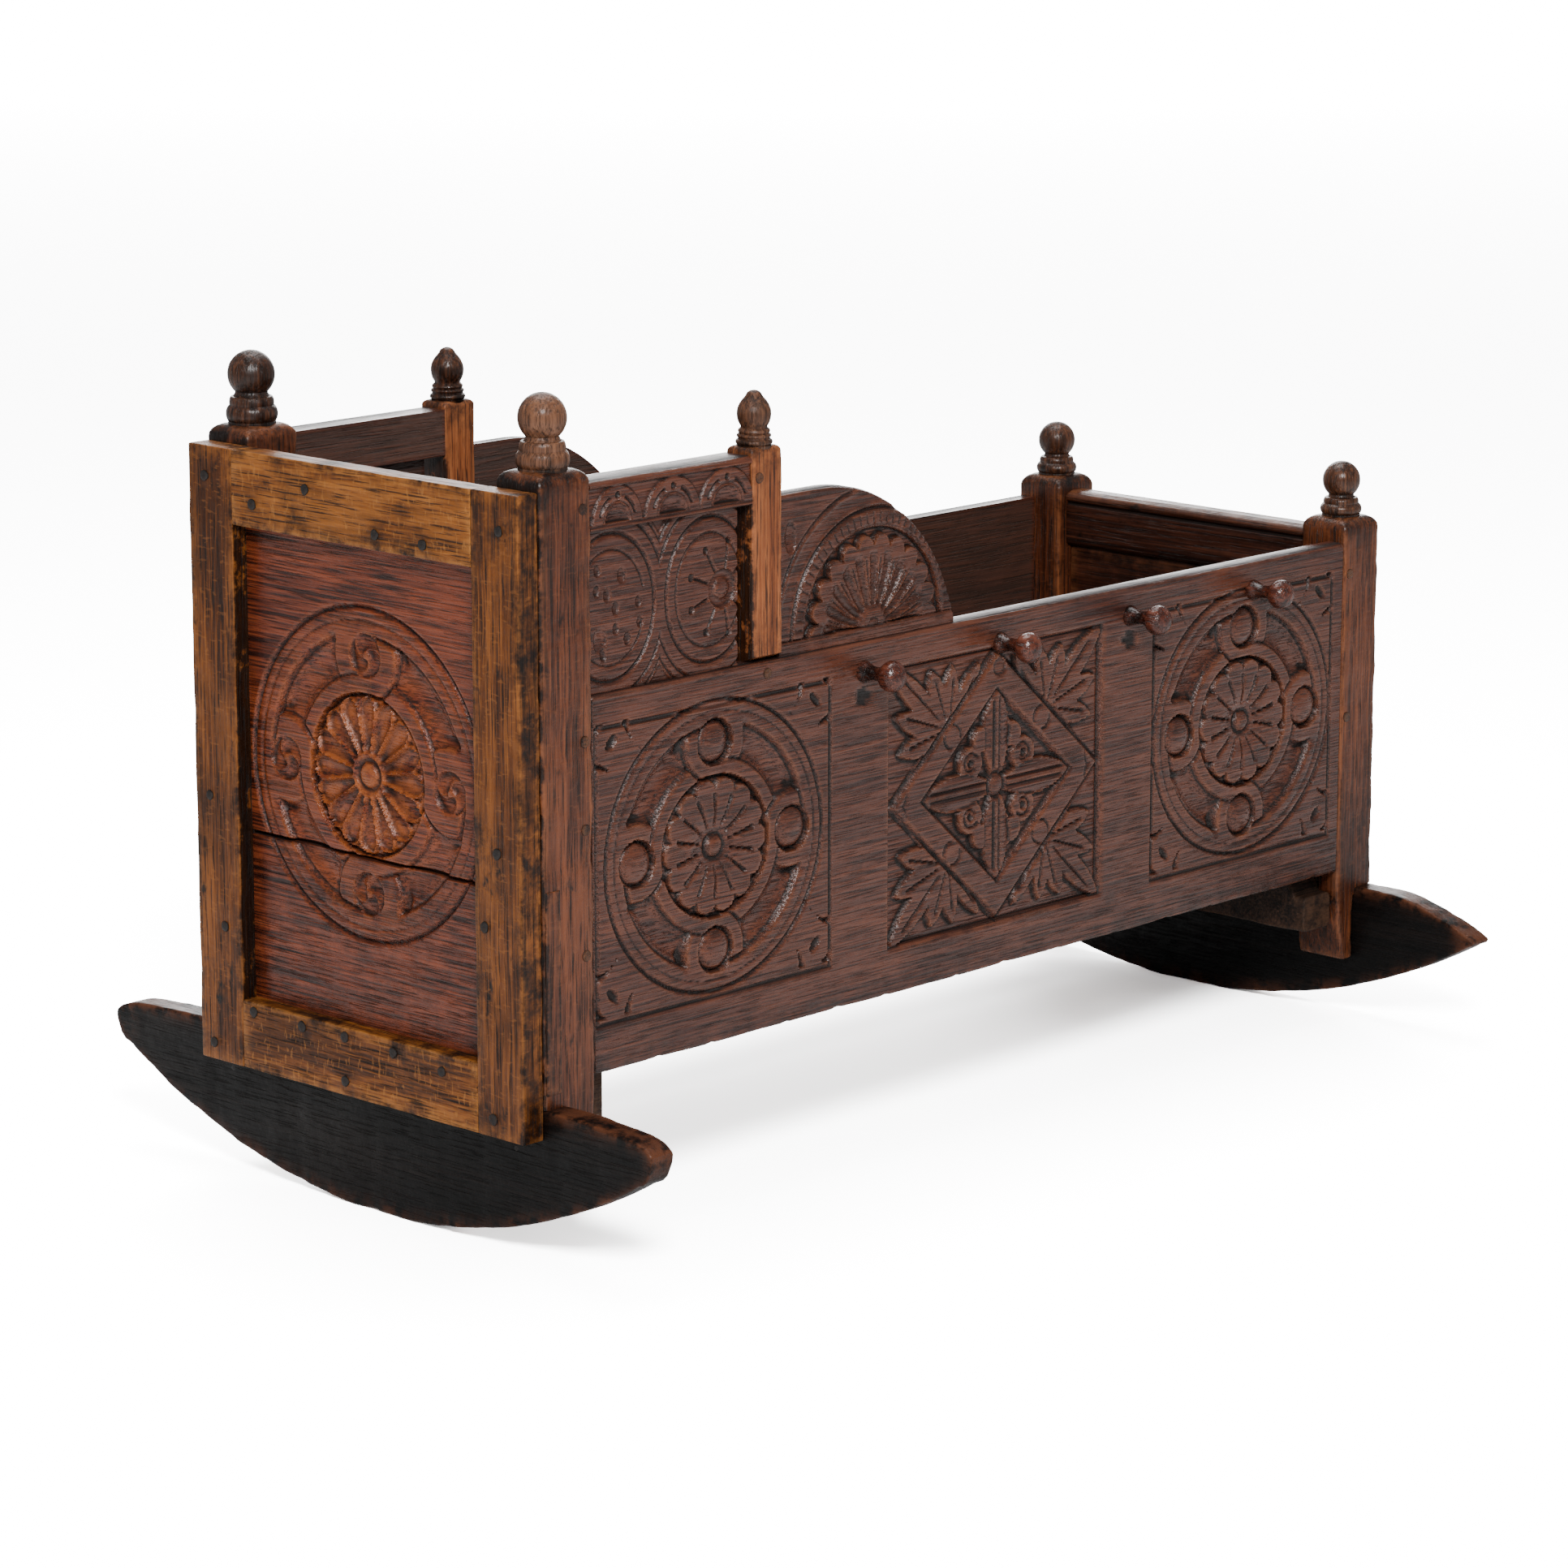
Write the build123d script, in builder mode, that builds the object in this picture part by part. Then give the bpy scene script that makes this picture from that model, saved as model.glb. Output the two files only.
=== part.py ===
from build123d import *
import os
from math import sqrt

# Joined and carved oak cradle on two curved rockers.
# Millimetres. +X runs from the head to the foot, +Z is up, and the origin is on the floor, under
# the middle of the cradle. "Right" is the -Y side and "left" the +Y side.

# ---- Where things stand -------------------------------------------------------------------
POST_SPAN = 870.0  # head-post centre to foot-post centre
HEAD_X = -423.75  # centre of the head posts
FOOT_X = HEAD_X + POST_SPAN
HOOD_X = HEAD_X + 195.0  # centre of the short posts that end the hood's sides
POST_Y = 148.0  # centre of the corner posts, from the long axis
FRAME_LOW_Z = 87.0  # lower edge of the head frame
SEAT_Z = 108.0  # top of the rockers, where the posts sit on them

# ---- Corner posts -------------------------------------------------------------------------
POST_W = 44.0
HEAD_POST_L = 48.0
FOOT_POST_L = 44.0
HEAD_BLOCK_TOP = 545.0
FOOT_BLOCK_TOP = 407.0
SHOULDER_R = 9.0  # rounding of the head blocks' upper edges
FOOT_SHOULDER_R = 8.0
TONGUE_END_Z = 50.0  # how far the posts run down behind the rockers
TONGUE_TAPER = 12.0
INNER_CHAMFER = 6.0
POST_IN_Y = POST_Y - POST_W / 2
POST_OUT_Y = POST_Y + POST_W / 2

# ---- Finials ------------------------------------------------------------------------------
HEAD_BALL_R = 17.0
HEAD_RING = (19.0, 16.0)  # radius and height
HEAD_NECK = (10.0, 5.0)
FOOT_BALL_R = 15.0
FOOT_RING = (17.0, 12.0)
FOOT_NECK = (8.5, 3.5)
FINIAL_SET_IN = 8.0  # length of turning buried in the block
ACORN_RING = (13.0, 6.5)
ACORN_WAIST = (8.5, 9.0)
ACORN_R = 12.2
ACORN_H = 27.5

# ---- Side boards --------------------------------------------------------------------------
BOARD_T = 16.0
BOARD_OUT_Y = POST_OUT_Y - 1.0
BOARD_IN_Y = BOARD_OUT_Y - BOARD_T
BOARD_LOW_Z = 123.0
BOARD_TOP_Z = 389.0
TONGUE_Y = (153.0, 163.0)  # the boards' end tongues, flush with their inner faces
TONGUE_L = 14.0

# ---- Hood sides ---------------------------------------------------------------------------
HOOD_POST_L = 30.0
HOOD_POST_IN_Y = BOARD_OUT_Y - 26.0
HOOD_BLOCK_TOP = 542.0
HOOD_SHOULDER_R = 4.0
HOOD_LEG_END_Z = 270.0
HOOD_RAIL_Z = (501.0, 535.0)
HOOD_TENON_Y = (150.0, 158.0)
GROOVE_Y = (157.0, 163.0)  # grooves for the hood panels and the ear boards
GROOVE_D = 6.0
HOOD_PANEL_Y = (155.0, 165.0)
HOOD_PANEL_END = HEAD_X + 170.0  # shrunk back from the hood post
PANEL_FOOT_D = 8.0  # how deep the hood panel stands in the board below it
EAR_Y = (154.0, 166.0)
EAR_TOP_Z = 504.0
EAR_R = 142.0
EAR_CENTRE_X = HEAD_X + 254.0
EAR_FOOT_D = 5.0
EAR_FOOT_INSET = 6.0
TENON_INSET = (4.0, 8.0)  # how much narrower a rail's tenon is below and above
GROOVE_ROOM = 0.5  # left free at the bottom of a groove

# ---- Head end -----------------------------------------------------------------------------
FRAME_T = 19.0
FRAME_OUT_X = HEAD_X - HEAD_POST_L / 2 - FRAME_T
FRAME_IN_X = HEAD_X - HEAD_POST_L / 2
FRAME_TOP_Z = 533.5
STILE_Y = (122.0, 168.0)
TOP_RAIL_Z = (480.0, FRAME_TOP_Z)
BOTTOM_RAIL_Z = (FRAME_LOW_Z, 137.0)
FRAME_TENON_X = (FRAME_OUT_X + 3.0, FRAME_OUT_X + 11.0)
FRAME_TENON_L = 16.0
FRAME_TENON_INSET = 9.0
REBATE_D = 6.0
HEAD_PANEL_T = 14.0
HEAD_PANEL_X = (FRAME_IN_X - REBATE_D, FRAME_IN_X - REBATE_D + HEAD_PANEL_T)
HEAD_PANEL_HALF_Y = 125.5
HEAD_PANEL_Z = (SEAT_Z, 510.0)
HEAD_CRACK_Z = 258.0
CRACK_W = 2.0

# ---- Foot end -----------------------------------------------------------------------------
FOOT_RAIL_X = (FOOT_X - 13.0, FOOT_X + 11.0)
FOOT_TOP_RAIL_Z = (351.0, 396.0)
FOOT_BOTTOM_RAIL_Z = (109.0, 149.0)
FOOT_PANEL_X = (FOOT_X - 7.0, FOOT_X + 5.0)
FOOT_TENON_X = (FOOT_X - 5.0, FOOT_X + 3.0)
FOOT_TENON_L = 14.0
FOOT_GROOVE_D = 8.0
FOOT_PANEL_EDGE = 6.0
FOOT_RAIL_EASE = 5.0  # rounding of the top rail's upper edges

# ---- Bottom -------------------------------------------------------------------------------
FLOOR_Z = (124.0, 137.0)
FLOOR_X = (HEAD_X - 15.0, FOOT_X - 13.5)
FLOOR_HALF_Y = 152.5
FLOOR_COUNT = 4
FLOOR_GAP = 1.5
HEAD_BEARER_X = (HEAD_X + 24.5, HEAD_X + 50.0)
FOOT_BEARER_X = (HEAD_X + 812.0, HEAD_X + 846.0)
HEAD_BEARER_Z = (81.0, FLOOR_Z[0])
FOOT_BEARER_Z = (79.0, FLOOR_Z[0])
HEAD_BEARER_HALF_Y = 150.0
FOOT_BEARER_HALF_Y = 165.0
BEARER_SHOULDER_Z = 108.0
BEARER_CHAMFER = 12.0
POST_ROOM = 0.5  # left between the outer floor boards and the posts

# ---- Rockers ------------------------------------------------------------------------------
ROCKER_T = 22.0
ROCKER_R = 550.0
WORN_FLAT = 60.0  # flat worn under the middle of each rocker, on which the cradle stands still
# Each nose from the end of the sole: half the sole, then (y, z) of the tip, the upper edge, a
# point on its long fall, and the level seat.
HEAD_SOLE_HALF = 280.0
HEAD_NOSE = [(288.0, 87.0), (272.0, 100.0), (235.0, 105.6), (190.0, SEAT_Z)]
FOOT_SOLE_HALF = 284.0
FOOT_NOSE = [(287.0, 82.0), (285.0, 85.0), (238.0, 102.0), (200.0, SEAT_Z)]

# ---- Knobs, pegs and nails ----------------------------------------------------------------
KNOB_X = [HEAD_X + 294.0 + 147.0 * i for i in range(4)]
KNOB_Z = 367.0
KNOB_L = 37.0
KNOB_R = 12.0
SPIGOT_R = 4.0
SPIGOT_L = 12.0
PEG_R = 4.0
PEG_L = 30.0
HOOD_PEG_L = 24.0
PEG_PROUD = 0.6
SHANK_R = 1.5
NAIL_HEAD_R = 4.0
NAIL_HEAD_H = 1.5
FRAME_NAIL_L = 25.0
CLEARANCE = 0.15

# Pegs through the side faces: (x, z) on both sides.
SIDE_PEGS = [
    (HEAD_X + 16.0, 518.0),
    (HEAD_X + 16.0, 359.0),
    (HEAD_X + 16.0, 298.0),
    (HEAD_X + 16.0, 210.0),
    (HOOD_X - 8.0, 519.0),
    (HOOD_X, 380.0),
    (FOOT_X - 15.0, 364.0),
    (FOOT_X - 15.0, 249.0),
]
# Pegs through the foot posts' end faces: height of each rail's peg.
END_PEG_Y = 133.0
END_PEG_Z = [373.0, 129.0]
# Nails through the head frame: (y, z).
FRAME_NAILS = [
    (100.0, 497.0), (44.0, 514.0), (-27.0, 491.0), (-75.0, 490.0),
    (110.0, 130.0), (58.0, 129.0), (13.0, 130.0), (-37.0, 128.0), (-87.0, 124.0), (13.0, 98.0),
    (150.0, 512.0), (152.0, 282.0), (139.0, 188.0), (154.0, 100.0),
    (-150.0, 508.0), (-145.0, 287.0), (-132.0, 234.0), (-138.0, 100.0),
]
# Small nails through the side boards' upper edge into the hood panels.
BOARD_NAIL_X = [HEAD_X + 81.0, HEAD_X + 145.0]
BOARD_NAIL_Z = BOARD_TOP_Z - 4.0
BOARD_NAIL_R = 1.2
BOARD_NAIL_L = 11.0
# Nails through the rockers into the posts' tongues.
ROCKER_NAIL_Y = [140.0, 156.0]
ROCKER_NAIL_Z = 76.0
ROCKER_NAIL_R = 2.5
ROCKER_NAIL_L = 32.0
FLOOR_NAIL_L = 30.0

SIDES = {"right": -1, "left": 1}
CENTRED_LOW = (Align.CENTER, Align.CENTER, Align.MIN)


def block(x, y, z, mode=Mode.ADD):
    """Squared timber or a squared cut, each of x, y and z being a (low, high) pair."""
    with Locations((sum(x) / 2, sum(y) / 2, sum(z) / 2)):
        Box(x[1] - x[0], y[1] - y[0], z[1] - z[0], mode=mode)


def across(sign, near, far):
    """A (low, high) pair along Y for what lies from near to far off the long axis, on one side."""
    return tuple(sorted((sign * near, sign * far)))


def rod(start, turn, radius, length, mode=Mode.ADD):
    """A round rod or bore from a start point. turn carries +Z to the rod's direction."""
    with Locations(Location(start, turn)):
        Cylinder(radius, length, align=CENTRED_LOW, mode=mode)


def inward(sign):
    """The turn that carries +Z to the direction from one side's face towards the long axis."""
    return (90 * sign, 0, 0)


TOWARDS_FOOT = (0, 90, 0)
TOWARDS_HEAD = (0, -90, 0)
DOWN = (180, 0, 0)


def turning_plane(x, y, z):
    """Upright plane through a turning's axis: its local x is the radius and its y the height."""
    return Plane(origin=(x, y, z), x_dir=(1, 0, 0), z_dir=(0, -1, 0))


def upright(x, y):
    """The vertical axis of a turning."""
    return Axis((x, y, 0), (0, 0, 1))


def ball_finial(x, y, z, ball_r, ring, neck):
    """Half section of a ball on a short neck and a domed ring, standing on a block at z."""
    ring_r, ring_h = ring
    neck_r, neck_h = neck
    foot_r = ring_r - 4
    hollow_r = neck_r + 2.5
    ball_low = ring_h + neck_h
    ball_z = ball_low + sqrt(ball_r**2 - neck_r**2)
    with BuildSketch(turning_plane(x, y, z)) as section:
        with BuildLine():
            ThreePointArc((neck_r, ball_low), (ball_r, ball_z), (0, ball_z + ball_r))
            Line((0, ball_z + ball_r), (0, -FINIAL_SET_IN))
            Line((0, -FINIAL_SET_IN), (foot_r, -FINIAL_SET_IN))
            Line((foot_r, -FINIAL_SET_IN), (ring_r - 1, 0))
            ThreePointArc((ring_r - 1, 0), (ring_r, 0.4 * ring_h), (hollow_r, ring_h))
            ThreePointArc((hollow_r, ring_h), (neck_r + 2, ring_h + 2), (neck_r, ball_low))
        make_face()
    return section.sketch


def acorn_finial(x, y, z):
    """Half section of a pointed acorn on a bell-shaped ring, standing on a block at z."""
    ring_r, ring_h = ACORN_RING
    waist_r, waist_h = ACORN_WAIST
    hollow_r = waist_r + 1
    tip_h = waist_h + ACORN_H
    widest_h = waist_h + 0.45 * ACORN_H
    with BuildSketch(turning_plane(x, y, z)) as section:
        with BuildLine():
            Polyline((0, tip_h), (0, -FINIAL_SET_IN), (ring_r - 3, -FINIAL_SET_IN), (ring_r, 0))
            ThreePointArc((ring_r, 0), (ring_r - 1, ring_h - 3), (hollow_r, ring_h))
            Line((hollow_r, ring_h), (waist_r, waist_h))
            Spline((waist_r, waist_h), (ACORN_R, widest_h), (5, tip_h - 3), (0, tip_h))
        make_face()
    return section.sketch


def tenon_span(rail_z):
    """The (low, high) heights of a rail's tenon."""
    return (rail_z[0] + TENON_INSET[0], rail_z[1] - TENON_INSET[1])


def peg_holes(sign, at):
    """Holes for the side pegs at the given (x, z) places."""
    for x, z in at:
        rod((x, sign * POST_OUT_Y, z), inward(sign), PEG_R + CLEARANCE, PEG_L, Mode.SUBTRACT)


def frame_nail_holes():
    """Holes for every nail of the head frame: the caller's timber keeps those that cross it."""
    for y, z in FRAME_NAILS:
        start = (FRAME_OUT_X, y, z)
        rod(start, TOWARDS_FOOT, SHANK_R + CLEARANCE, FRAME_NAIL_L, Mode.SUBTRACT)


def rocker_nail_holes(x, turn):
    """Holes for the four nails of one rocker, driven from its outer face at x."""
    for sign in SIDES.values():
        for y in ROCKER_NAIL_Y:
            start = (x, sign * y, ROCKER_NAIL_Z)
            rod(start, turn, ROCKER_NAIL_R + CLEARANCE, ROCKER_NAIL_L, Mode.SUBTRACT)


def floor_nails():
    """The place of each floor nail: (x, y) on both bearers, one in each floor board."""
    pitch = 2 * FLOOR_HALF_Y / FLOOR_COUNT
    rows = [sum(HEAD_BEARER_X) / 2, sum(FOOT_BEARER_X) / 2]
    return [(x, -FLOOR_HALF_Y + pitch * (i + 0.5)) for x in rows for i in range(FLOOR_COUNT)]


def floor_nail_holes():
    """Holes down through the floor boards into the bearers."""
    for x, y in floor_nails():
        rod((x, y, FLOOR_Z[1]), DOWN, SHANK_R + CLEARANCE, FLOOR_NAIL_L, Mode.SUBTRACT)


def finish(builder, name):
    """Label a finished piece and write its file."""
    builder.part.label = name
    export_step(builder.part, f"parts/{name}.step")


# ---- Corner posts at the head -------------------------------------------------------------
# Each is notched on its outer half to sit on the rocker, and its inner half runs on down.
PATCH_X = (HEAD_X - HEAD_POST_L / 2, HEAD_X - 7.0)
PATCH_Y = (POST_OUT_Y - 10.0, POST_OUT_Y)
PATCH_Z = (118.0, 262.0)
ROCKER_IN_X = HEAD_X - HEAD_POST_L / 2 + ROCKER_T

for side, sign in SIDES.items():
    with BuildPart() as head_post:
        post_y = across(sign, POST_IN_Y, POST_OUT_Y)
        post_x = (HEAD_X - HEAD_POST_L / 2, HEAD_X + HEAD_POST_L / 2)
        block(post_x, post_y, (SEAT_Z, HEAD_BLOCK_TOP))
        fillet(head_post.faces().sort_by(Axis.Z)[-1].edges(), SHOULDER_R)
        block((ROCKER_IN_X, post_x[1]), post_y, (TONGUE_END_Z, SEAT_Z))
        chamfer(head_post.faces().sort_by(Axis.Z)[0].edges().sort_by(Axis.X)[-1], TONGUE_TAPER)
        revolve(
            ball_finial(HEAD_X, sign * POST_Y, HEAD_BLOCK_TOP, HEAD_BALL_R, HEAD_RING, HEAD_NECK),
            axis=upright(HEAD_X, sign * POST_Y),
        )
        mortise_x = (post_x[1] - TONGUE_L, post_x[1])
        block(mortise_x, across(sign, *TONGUE_Y), (BOARD_LOW_Z, BOARD_TOP_Z), Mode.SUBTRACT)
        block(mortise_x, across(sign, *HOOD_TENON_Y), HOOD_RAIL_Z, Mode.SUBTRACT)
        groove_x = (post_x[1] - GROOVE_D, post_x[1])
        block(groove_x, across(sign, *GROOVE_Y), (BOARD_TOP_Z, HOOD_RAIL_Z[0]), Mode.SUBTRACT)
        peg_holes(sign, SIDE_PEGS[:4])
        frame_nail_holes()
        rocker_nail_holes(post_x[0], TOWARDS_FOOT)
        if side == "right":
            block(PATCH_X, across(sign, *PATCH_Y), PATCH_Z, Mode.SUBTRACT)
    finish(head_post, f"head_post_{side}")

# An old repair: a strip of oak let into the outer corner of the right head post.
with BuildPart() as repair_patch:
    block(PATCH_X, across(-1, *PATCH_Y), PATCH_Z)
finish(repair_patch, "post_repair_patch")

# ---- Hood posts ---------------------------------------------------------------------------
# Each stands on the side board's upper edge and laps down the board's inner face.
for side, sign in SIDES.items():
    with BuildPart() as hood_post:
        post_x = (HOOD_X - HOOD_POST_L / 2, HOOD_X + HOOD_POST_L / 2)
        block(post_x, across(sign, HOOD_POST_IN_Y, BOARD_OUT_Y), (BOARD_TOP_Z, HOOD_BLOCK_TOP))
        fillet(hood_post.faces().sort_by(Axis.Z)[-1].edges(), HOOD_SHOULDER_R)
        block(post_x, across(sign, HOOD_POST_IN_Y, BOARD_IN_Y), (HOOD_LEG_END_Z, BOARD_TOP_Z))
        centre_y = sign * (HOOD_POST_IN_Y + BOARD_OUT_Y) / 2
        revolve(acorn_finial(HOOD_X, centre_y, HOOD_BLOCK_TOP), axis=upright(HOOD_X, centre_y))
        mortise_x = (post_x[0], post_x[0] + TONGUE_L)
        block(mortise_x, across(sign, *HOOD_TENON_Y), HOOD_RAIL_Z, Mode.SUBTRACT)
        groove_x = (post_x[1] - GROOVE_D, post_x[1])
        block(groove_x, across(sign, *GROOVE_Y), (BOARD_TOP_Z, EAR_TOP_Z), Mode.SUBTRACT)
        peg_holes(sign, SIDE_PEGS[4:6])
    finish(hood_post, f"hood_post_{side}")

# ---- Corner posts at the foot -------------------------------------------------------------
FOOT_ROCKER_IN_X = FOOT_X + FOOT_POST_L / 2 - ROCKER_T

for side, sign in SIDES.items():
    with BuildPart() as foot_post:
        post_y = across(sign, POST_IN_Y, POST_OUT_Y)
        post_x = (FOOT_X - FOOT_POST_L / 2, FOOT_X + FOOT_POST_L / 2)
        block(post_x, post_y, (SEAT_Z, FOOT_BLOCK_TOP))
        upright_edges = foot_post.edges().filter_by(Axis.Z).group_by(Axis.X)[0]
        chamfer(upright_edges.sort_by(lambda edge: abs(edge.center().Y))[0], INNER_CHAMFER)
        fillet(foot_post.faces().sort_by(Axis.Z)[-1].edges(), FOOT_SHOULDER_R)
        block((post_x[0], FOOT_ROCKER_IN_X), post_y, (TONGUE_END_Z, SEAT_Z))
        chamfer(foot_post.faces().sort_by(Axis.Z)[0].edges().sort_by(Axis.X)[0], TONGUE_TAPER)
        revolve(
            ball_finial(FOOT_X, sign * POST_Y, FOOT_BLOCK_TOP, FOOT_BALL_R, FOOT_RING, FOOT_NECK),
            axis=upright(FOOT_X, sign * POST_Y),
        )
        mortise_x = (post_x[0], post_x[0] + TONGUE_L)
        block(mortise_x, across(sign, *TONGUE_Y), (BOARD_LOW_Z, BOARD_TOP_Z), Mode.SUBTRACT)
        mortise_y = across(sign, POST_IN_Y, POST_IN_Y + FOOT_TENON_L)
        for rail_z in (FOOT_TOP_RAIL_Z, FOOT_BOTTOM_RAIL_Z):
            block(FOOT_TENON_X, mortise_y, tenon_span(rail_z), Mode.SUBTRACT)
        groove_y = across(sign, POST_IN_Y, POST_IN_Y + FOOT_PANEL_EDGE)
        groove_z = (tenon_span(FOOT_BOTTOM_RAIL_Z)[0], tenon_span(FOOT_TOP_RAIL_Z)[1])
        block(FOOT_TENON_X, groove_y, groove_z, Mode.SUBTRACT)
        peg_holes(sign, SIDE_PEGS[6:])
        for peg_z in END_PEG_Z:
            start = (post_x[1], sign * END_PEG_Y, peg_z)
            rod(start, TOWARDS_HEAD, PEG_R + CLEARANCE, PEG_L, Mode.SUBTRACT)
        rocker_nail_holes(post_x[1], TOWARDS_HEAD)
    finish(foot_post, f"foot_post_{side}")

# ---- Side boards --------------------------------------------------------------------------
# One wide board each side, tongued into the posts at both ends.
BOARD_X = (HEAD_X + HEAD_POST_L / 2, FOOT_X - FOOT_POST_L / 2)
EAR_ARC_Z = EAR_TOP_Z - EAR_R
EAR_END_X = EAR_CENTRE_X + sqrt(EAR_R**2 - (BOARD_TOP_Z - EAR_ARC_Z) ** 2)
EAR_X = (HOOD_X + HOOD_POST_L / 2, EAR_END_X)
EAR_FOOT_X = (EAR_X[0] + EAR_FOOT_INSET, EAR_X[1] - EAR_FOOT_INSET)

for side, sign in SIDES.items():
    with BuildPart() as side_board:
        board_z = (BOARD_LOW_Z, BOARD_TOP_Z)
        block(BOARD_X, across(sign, BOARD_IN_Y, BOARD_OUT_Y), board_z)
        tongues_x = (BOARD_X[0] - TONGUE_L, BOARD_X[1] + TONGUE_L)
        block(tongues_x, across(sign, *TONGUE_Y), board_z)
        panel_x = (tongues_x[0], HOOD_PANEL_END)  # the groove is ploughed out through the tongue
        panel_z = (BOARD_TOP_Z - PANEL_FOOT_D, BOARD_TOP_Z)
        block(panel_x, across(sign, *GROOVE_Y), panel_z, Mode.SUBTRACT)
        ear_z = (BOARD_TOP_Z - EAR_FOOT_D, BOARD_TOP_Z)
        block(EAR_FOOT_X, across(sign, *GROOVE_Y), ear_z, Mode.SUBTRACT)
        peg_holes(sign, SIDE_PEGS)
        for x in KNOB_X:
            start = (x, sign * BOARD_OUT_Y, KNOB_Z)
            rod(start, inward(sign), SPIGOT_R + CLEARANCE, SPIGOT_L + 1, Mode.SUBTRACT)
        for x in BOARD_NAIL_X:
            start = (x, sign * BOARD_OUT_Y, BOARD_NAIL_Z)
            rod(start, inward(sign), BOARD_NAIL_R + CLEARANCE, BOARD_NAIL_L, Mode.SUBTRACT)
    finish(side_board, f"side_board_{side}")

# ---- Hood rails and panels ----------------------------------------------------------------
RAIL_X = (BOARD_X[0], HOOD_X - HOOD_POST_L / 2)

for side, sign in SIDES.items():
    with BuildPart() as hood_rail:
        block(RAIL_X, across(sign, HOOD_POST_IN_Y, BOARD_OUT_Y), HOOD_RAIL_Z)
        tenon_x = (RAIL_X[0] - TONGUE_L, RAIL_X[1] + TONGUE_L)
        block(tenon_x, across(sign, *HOOD_TENON_Y), tenon_span(HOOD_RAIL_Z))
        groove_z = (HOOD_RAIL_Z[0], HOOD_RAIL_Z[0] + GROOVE_D)
        block(RAIL_X, across(sign, *GROOVE_Y), groove_z, Mode.SUBTRACT)
        peg_holes(sign, SIDE_PEGS)
    finish(hood_rail, f"hood_rail_{side}")

    with BuildPart() as hood_panel:
        panel_x = (BOARD_X[0], HOOD_PANEL_END)
        block(panel_x, across(sign, *HOOD_PANEL_Y), (BOARD_TOP_Z, HOOD_RAIL_Z[0]))
        edge_x = (BOARD_X[0] - GROOVE_D + GROOVE_ROOM, HOOD_PANEL_END)
        block(edge_x, across(sign, *GROOVE_Y), (BOARD_TOP_Z, HOOD_RAIL_Z[0]))
        edge_z = (BOARD_TOP_Z - PANEL_FOOT_D, HOOD_RAIL_Z[0] + GROOVE_D - GROOVE_ROOM)
        block(panel_x, across(sign, *GROOVE_Y), edge_z)
        for x in BOARD_NAIL_X:
            start = (x, sign * BOARD_OUT_Y, BOARD_NAIL_Z)
            rod(start, inward(sign), BOARD_NAIL_R + CLEARANCE, BOARD_NAIL_L, Mode.SUBTRACT)
    finish(hood_panel, f"hood_panel_{side}")

# ---- Ear boards ---------------------------------------------------------------------------
# Each steps down from the hood post to the side board in one round sweep.
for side, sign in SIDES.items():
    face_y = max(sign * EAR_Y[0], sign * EAR_Y[1])
    with BuildPart() as ear_board:
        with BuildSketch(turning_plane(0, face_y, 0)):
            with BuildLine():
                start = (EAR_CENTRE_X, EAR_TOP_Z)
                end = (EAR_X[1], BOARD_TOP_Z)
                Polyline(start, (EAR_X[0], EAR_TOP_Z), (EAR_X[0], BOARD_TOP_Z), end)
                RadiusArc(end, start, -EAR_R)
            make_face()
        extrude(amount=EAR_Y[1] - EAR_Y[0])
        edge_x = (EAR_X[0] - GROOVE_D + GROOVE_ROOM, EAR_X[0])
        block(edge_x, across(sign, *GROOVE_Y), (BOARD_TOP_Z, EAR_TOP_Z - 4))
        block(EAR_FOOT_X, across(sign, *GROOVE_Y), (BOARD_TOP_Z - EAR_FOOT_D, BOARD_TOP_Z))
    finish(ear_board, f"ear_board_{side}")

# ---- Head frame ---------------------------------------------------------------------------
# Two stiles and two rails, tenoned together and nailed over the posts and the panel's edges.
for side, sign in SIDES.items():
    with BuildPart() as head_stile:
        block((FRAME_OUT_X, FRAME_IN_X), across(sign, *STILE_Y), (FRAME_LOW_Z, FRAME_TOP_Z))
        mortise_y = across(sign, STILE_Y[0], STILE_Y[0] + FRAME_TENON_L)
        for rail_z in (TOP_RAIL_Z, BOTTOM_RAIL_Z):
            tenon_z = (rail_z[0] + FRAME_TENON_INSET, rail_z[1] - FRAME_TENON_INSET)
            block(FRAME_TENON_X, mortise_y, tenon_z, Mode.SUBTRACT)
        rebate_y = across(sign, STILE_Y[0], HEAD_PANEL_HALF_Y)
        block((HEAD_PANEL_X[0], FRAME_IN_X), rebate_y, HEAD_PANEL_Z, Mode.SUBTRACT)
        frame_nail_holes()
    finish(head_stile, f"head_stile_{side}")

for name, rail_z in {"head_top_rail": TOP_RAIL_Z, "head_bottom_rail": BOTTOM_RAIL_Z}.items():
    with BuildPart() as head_rail:
        block((FRAME_OUT_X, FRAME_IN_X), (-STILE_Y[0], STILE_Y[0]), rail_z)
        tenons_y = (-STILE_Y[0] - FRAME_TENON_L, STILE_Y[0] + FRAME_TENON_L)
        tenon_z = (rail_z[0] + FRAME_TENON_INSET, rail_z[1] - FRAME_TENON_INSET)
        block(FRAME_TENON_X, tenons_y, tenon_z)
        panel_y = (-HEAD_PANEL_HALF_Y, HEAD_PANEL_HALF_Y)
        block((HEAD_PANEL_X[0], FRAME_IN_X), panel_y, HEAD_PANEL_Z, Mode.SUBTRACT)
        frame_nail_holes()
    finish(head_rail, name)

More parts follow.
